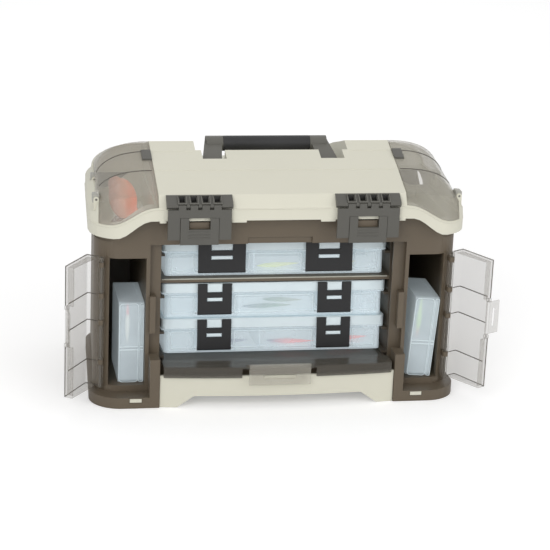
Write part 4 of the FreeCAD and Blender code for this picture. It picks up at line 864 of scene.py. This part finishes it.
class TACKLE_OT_lures(bpy.types.Operator):
    """Lures that lie in the boxes and the hatch well"""
    bl_idname = "tackle.lures"
    bl_label = "Lures"

    def execute(self, context):
        red = ((0.0, (0.02, 0.03, 0.12, 1)), (0.4, (0.05, 0.04, 0.14, 1)), (0.55, (0.85, 0.04, 0.03, 1)),
               (1.0, (0.9, 0.06, 0.03, 1)))
        green = ((0.0, (0.02, 0.07, 0.12, 1)), (0.5, (0.05, 0.16, 0.08, 1)), (1.0, (0.3, 0.3, 0.2, 1)))
        lime = ((0.0, (0.55, 0.62, 0.12, 1)), (0.5, (0.7, 0.68, 0.2, 1)), (1.0, (0.6, 0.45, 0.1, 1)))
        mint = ((0.0, (0.8, 0.1, 0.15, 1)), (0.3, (0.5, 0.75, 0.2, 1)), (1.0, (0.6, 0.8, 0.3, 1)))
        rust = ((0.0, (0.12, 0.07, 0.06, 1)), (0.6, (0.3, 0.09, 0.06, 1)), (1.0, (0.5, 0.12, 0.06, 1)))
        white = ((0.0, (0.8, 0.78, 0.68, 1)), (0.7, (0.8, 0.77, 0.66, 1)), (0.75, (0.85, 0.06, 0.06, 1)))
        for node, body, slot_name, stops, axis in (
                ("box_bottom_lures", "box_bottom", "lure_red", red, 0),
                ("box_middle_lures", "box_middle", "lure_paint", green, 0),
                ("box_top_lures", "box_top", "lure_paint", lime, 0),
                ("small_box_left_lure", "small_box_left", "lure_white", white, 2),
                ("small_box_right_lure", "small_box_right", "lure_paint", mint, 2),
                ("hatch_lure_left", "lid", "lure_red", rust, 1)):
            low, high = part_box(node)
            # Lures in the boxes glow a little: painted light that brightens them behind the clear plastic.
            glow = 0.0 if body == "lid" else 0.35
            paint = lure_paint(node + "_paint", stops, axis, low[axis], high[axis], glow=glow)
            finish_piece(refined(node, node + "_body", 0), body, paint, (node,))
        self.stand_bait()
        return {"FINISHED"}

    def stand_bait(self):
        """The plump orange bait that leans in the left well, with its head and tail."""
        parts = []
        for centre, size in (((0, 0, 0), (17, 12, 26)),
                             ((6, 0, -22), (10, 5, 12)),
                             ((-5, 0, 19), (9, 7, 11))):
            deselect()
            bpy.ops.mesh.primitive_uv_sphere_add(segments=48, ring_count=24, radius=MM,
                                                 location=metres(*centre))
            bpy.context.object.scale = size
            parts.append(settled(bpy.context.object))
            bpy.ops.object.shade_smooth()
        lean = Matrix.Translation(metres(-186, FRONT_Y + 52, 243)) @ Matrix.Rotation(-0.22, 4, "Y")
        orange = ((0.0, (0.28, 0.10, 0.09, 1)), (0.5, (0.62, 0.22, 0.12, 1)), (0.8, (0.95, 0.16, 0.04, 1)))
        # The bait glows a little as well: painted light.
        paint = lure_paint("bait_orange", orange, 0, -0.206, -0.166, 0.3, 0.35)
        finish_piece(placed(joined(parts, "hatch_bait"), lean), "lid", paint)


class TACKLE_OT_stage(bpy.types.Operator):
    """Pale floor, soft light and the camera"""
    bl_idname = "tackle.stage"
    bl_label = "Stage"

    def execute(self, context):
        deselect()
        bpy.ops.mesh.primitive_plane_add(size=40, location=(0, 0, -0.0002))
        floor = context.object
        floor.name = "stage_floor"
        s = Shader("stage_floor")
        seen = s.node("ShaderNodeLightPath", output=0)
        matt = s.node("ShaderNodeBsdfDiffuse", None, {"Color": (0.86, 0.86, 0.86, 1)})
        glow = s.node("ShaderNodeEmission", None, {"Color": (1, 1, 1, 1), "Strength": seen * 0.28})
        floor.data.materials.append(s.output(s.node("ShaderNodeAddShader", None, {0: matt, 1: glow})))
        for name, place, size, power in (
                ("key", (-1.5, -2.6, 1.7), 1.8, 40), ("fill", (2.2, -2.0, 1.1), 2.2, 24),
                ("top", (0.2, 0.2, 3.0), 2.4, 7), ("back", (0.5, 2.6, 1.8), 2.0, 8)):
            deselect()
            bpy.ops.object.light_add(type="AREA", location=place)
            lamp = context.object
            lamp.name = "lamp_" + name
            lamp.data.size = size
            lamp.data.energy = power
            aim = Vector((0, 0, 0.12)) - Vector(place)
            lamp.rotation_euler = aim.to_track_quat("-Z", "Y").to_euler()
        world = bpy.data.worlds.new("stage_world")
        world.use_nodes = True
        context.scene.world = world
        tree = world.node_tree
        tree.nodes.clear()
        path = tree.nodes.new("ShaderNodeLightPath")
        ends = []
        for strength in (0.62, 1.0):
            sky = tree.nodes.new("ShaderNodeBackground")
            sky.inputs["Color"].default_value = (1, 1, 1, 1)
            sky.inputs["Strength"].default_value = strength
            ends.append(sky)
        either = tree.nodes.new("ShaderNodeMath")
        either.operation = "ADD"
        either.use_clamp = True
        tree.links.new(path.outputs["Is Camera Ray"], either.inputs[0])
        tree.links.new(path.outputs["Is Transmission Ray"], either.inputs[1])
        mixer = tree.nodes.new("ShaderNodeMixShader")
        tree.links.new(either.outputs[0], mixer.inputs[0])
        tree.links.new(ends[0].outputs[0], mixer.inputs[1])
        tree.links.new(ends[1].outputs[0], mixer.inputs[2])
        out = tree.nodes.new("ShaderNodeOutputWorld")
        tree.links.new(mixer.outputs[0], out.inputs["Surface"])
        place_camera()
        context.scene.view_settings.view_transform = "Standard"
        return {"FINISHED"}


def place_camera():
    """The photograph's camera, from its place and its yaw, pitch and roll."""
    stage = settings()[2]
    yaw, pitch, roll = stage.camera_turn
    ahead = Vector((math.sin(yaw) * math.cos(pitch), math.cos(yaw) * math.cos(pitch), -math.sin(pitch)))
    right = Vector((math.cos(yaw), -math.sin(yaw), 0))
    up = right.cross(ahead)
    side = math.cos(roll) * right + math.sin(roll) * up
    top = -math.sin(roll) * right + math.cos(roll) * up
    data = bpy.data.cameras.new("camera")
    data.lens = stage.focal
    data.sensor_width = 36.0
    data.clip_end = 100.0
    camera = bpy.data.objects.new("camera", data)
    bpy.context.scene.collection.objects.link(camera)
    turn = Matrix((side, top, -ahead)).transposed().to_4x4()
    camera.matrix_world = Matrix.Translation(Vector(stage.camera_place)) @ turn
    bpy.context.scene.camera = camera


operators = (TACKLE_OT_case, TACKLE_OT_lid, TACKLE_OT_latches, TACKLE_OT_handle, TACKLE_OT_hatches,
             TACKLE_OT_side_doors, TACKLE_OT_front_door, TACKLE_OT_utility_boxes,
             TACKLE_OT_small_boxes, TACKLE_OT_lures, TACKLE_OT_stage)


class TACKLE_PT_panel(bpy.types.Panel):
    """Lists the cabinet's pieces and its stage"""
    bl_label = "Tackle cabinet"
    bl_idname = "TACKLE_PT_panel"
    bl_space_type = "VIEW_3D"
    bl_region_type = "UI"
    bl_category = "Tackle"

    def draw(self, context):
        for group in (context.scene.tackle_finish, context.scene.tackle_sizes, context.scene.tackle_stage):
            for name in group.__annotations__:
                self.layout.prop(group, name)
        for operator in operators:
            self.layout.operator(operator.bl_idname)


groups = (("tackle_finish", TackleFinish), ("tackle_sizes", TackleSizes), ("tackle_stage", TackleStage))


def register():
    for name, group in groups:
        bpy.utils.register_class(group)
        setattr(bpy.types.Scene, name, bpy.props.PointerProperty(type=group))
    for item in operators + (TACKLE_PT_panel,):
        bpy.utils.register_class(item)


def unregister():
    for item in (TACKLE_PT_panel,) + operators[::-1]:
        bpy.utils.unregister_class(item)
    for name, group in groups[::-1]:
        delattr(bpy.types.Scene, name)
        bpy.utils.unregister_class(group)


def main():
    register()
    make_finishes()
    for operator in operators:
        getattr(bpy.ops.tackle, operator.bl_idname.split(".")[1])()


if __name__ == "__main__":
    main()
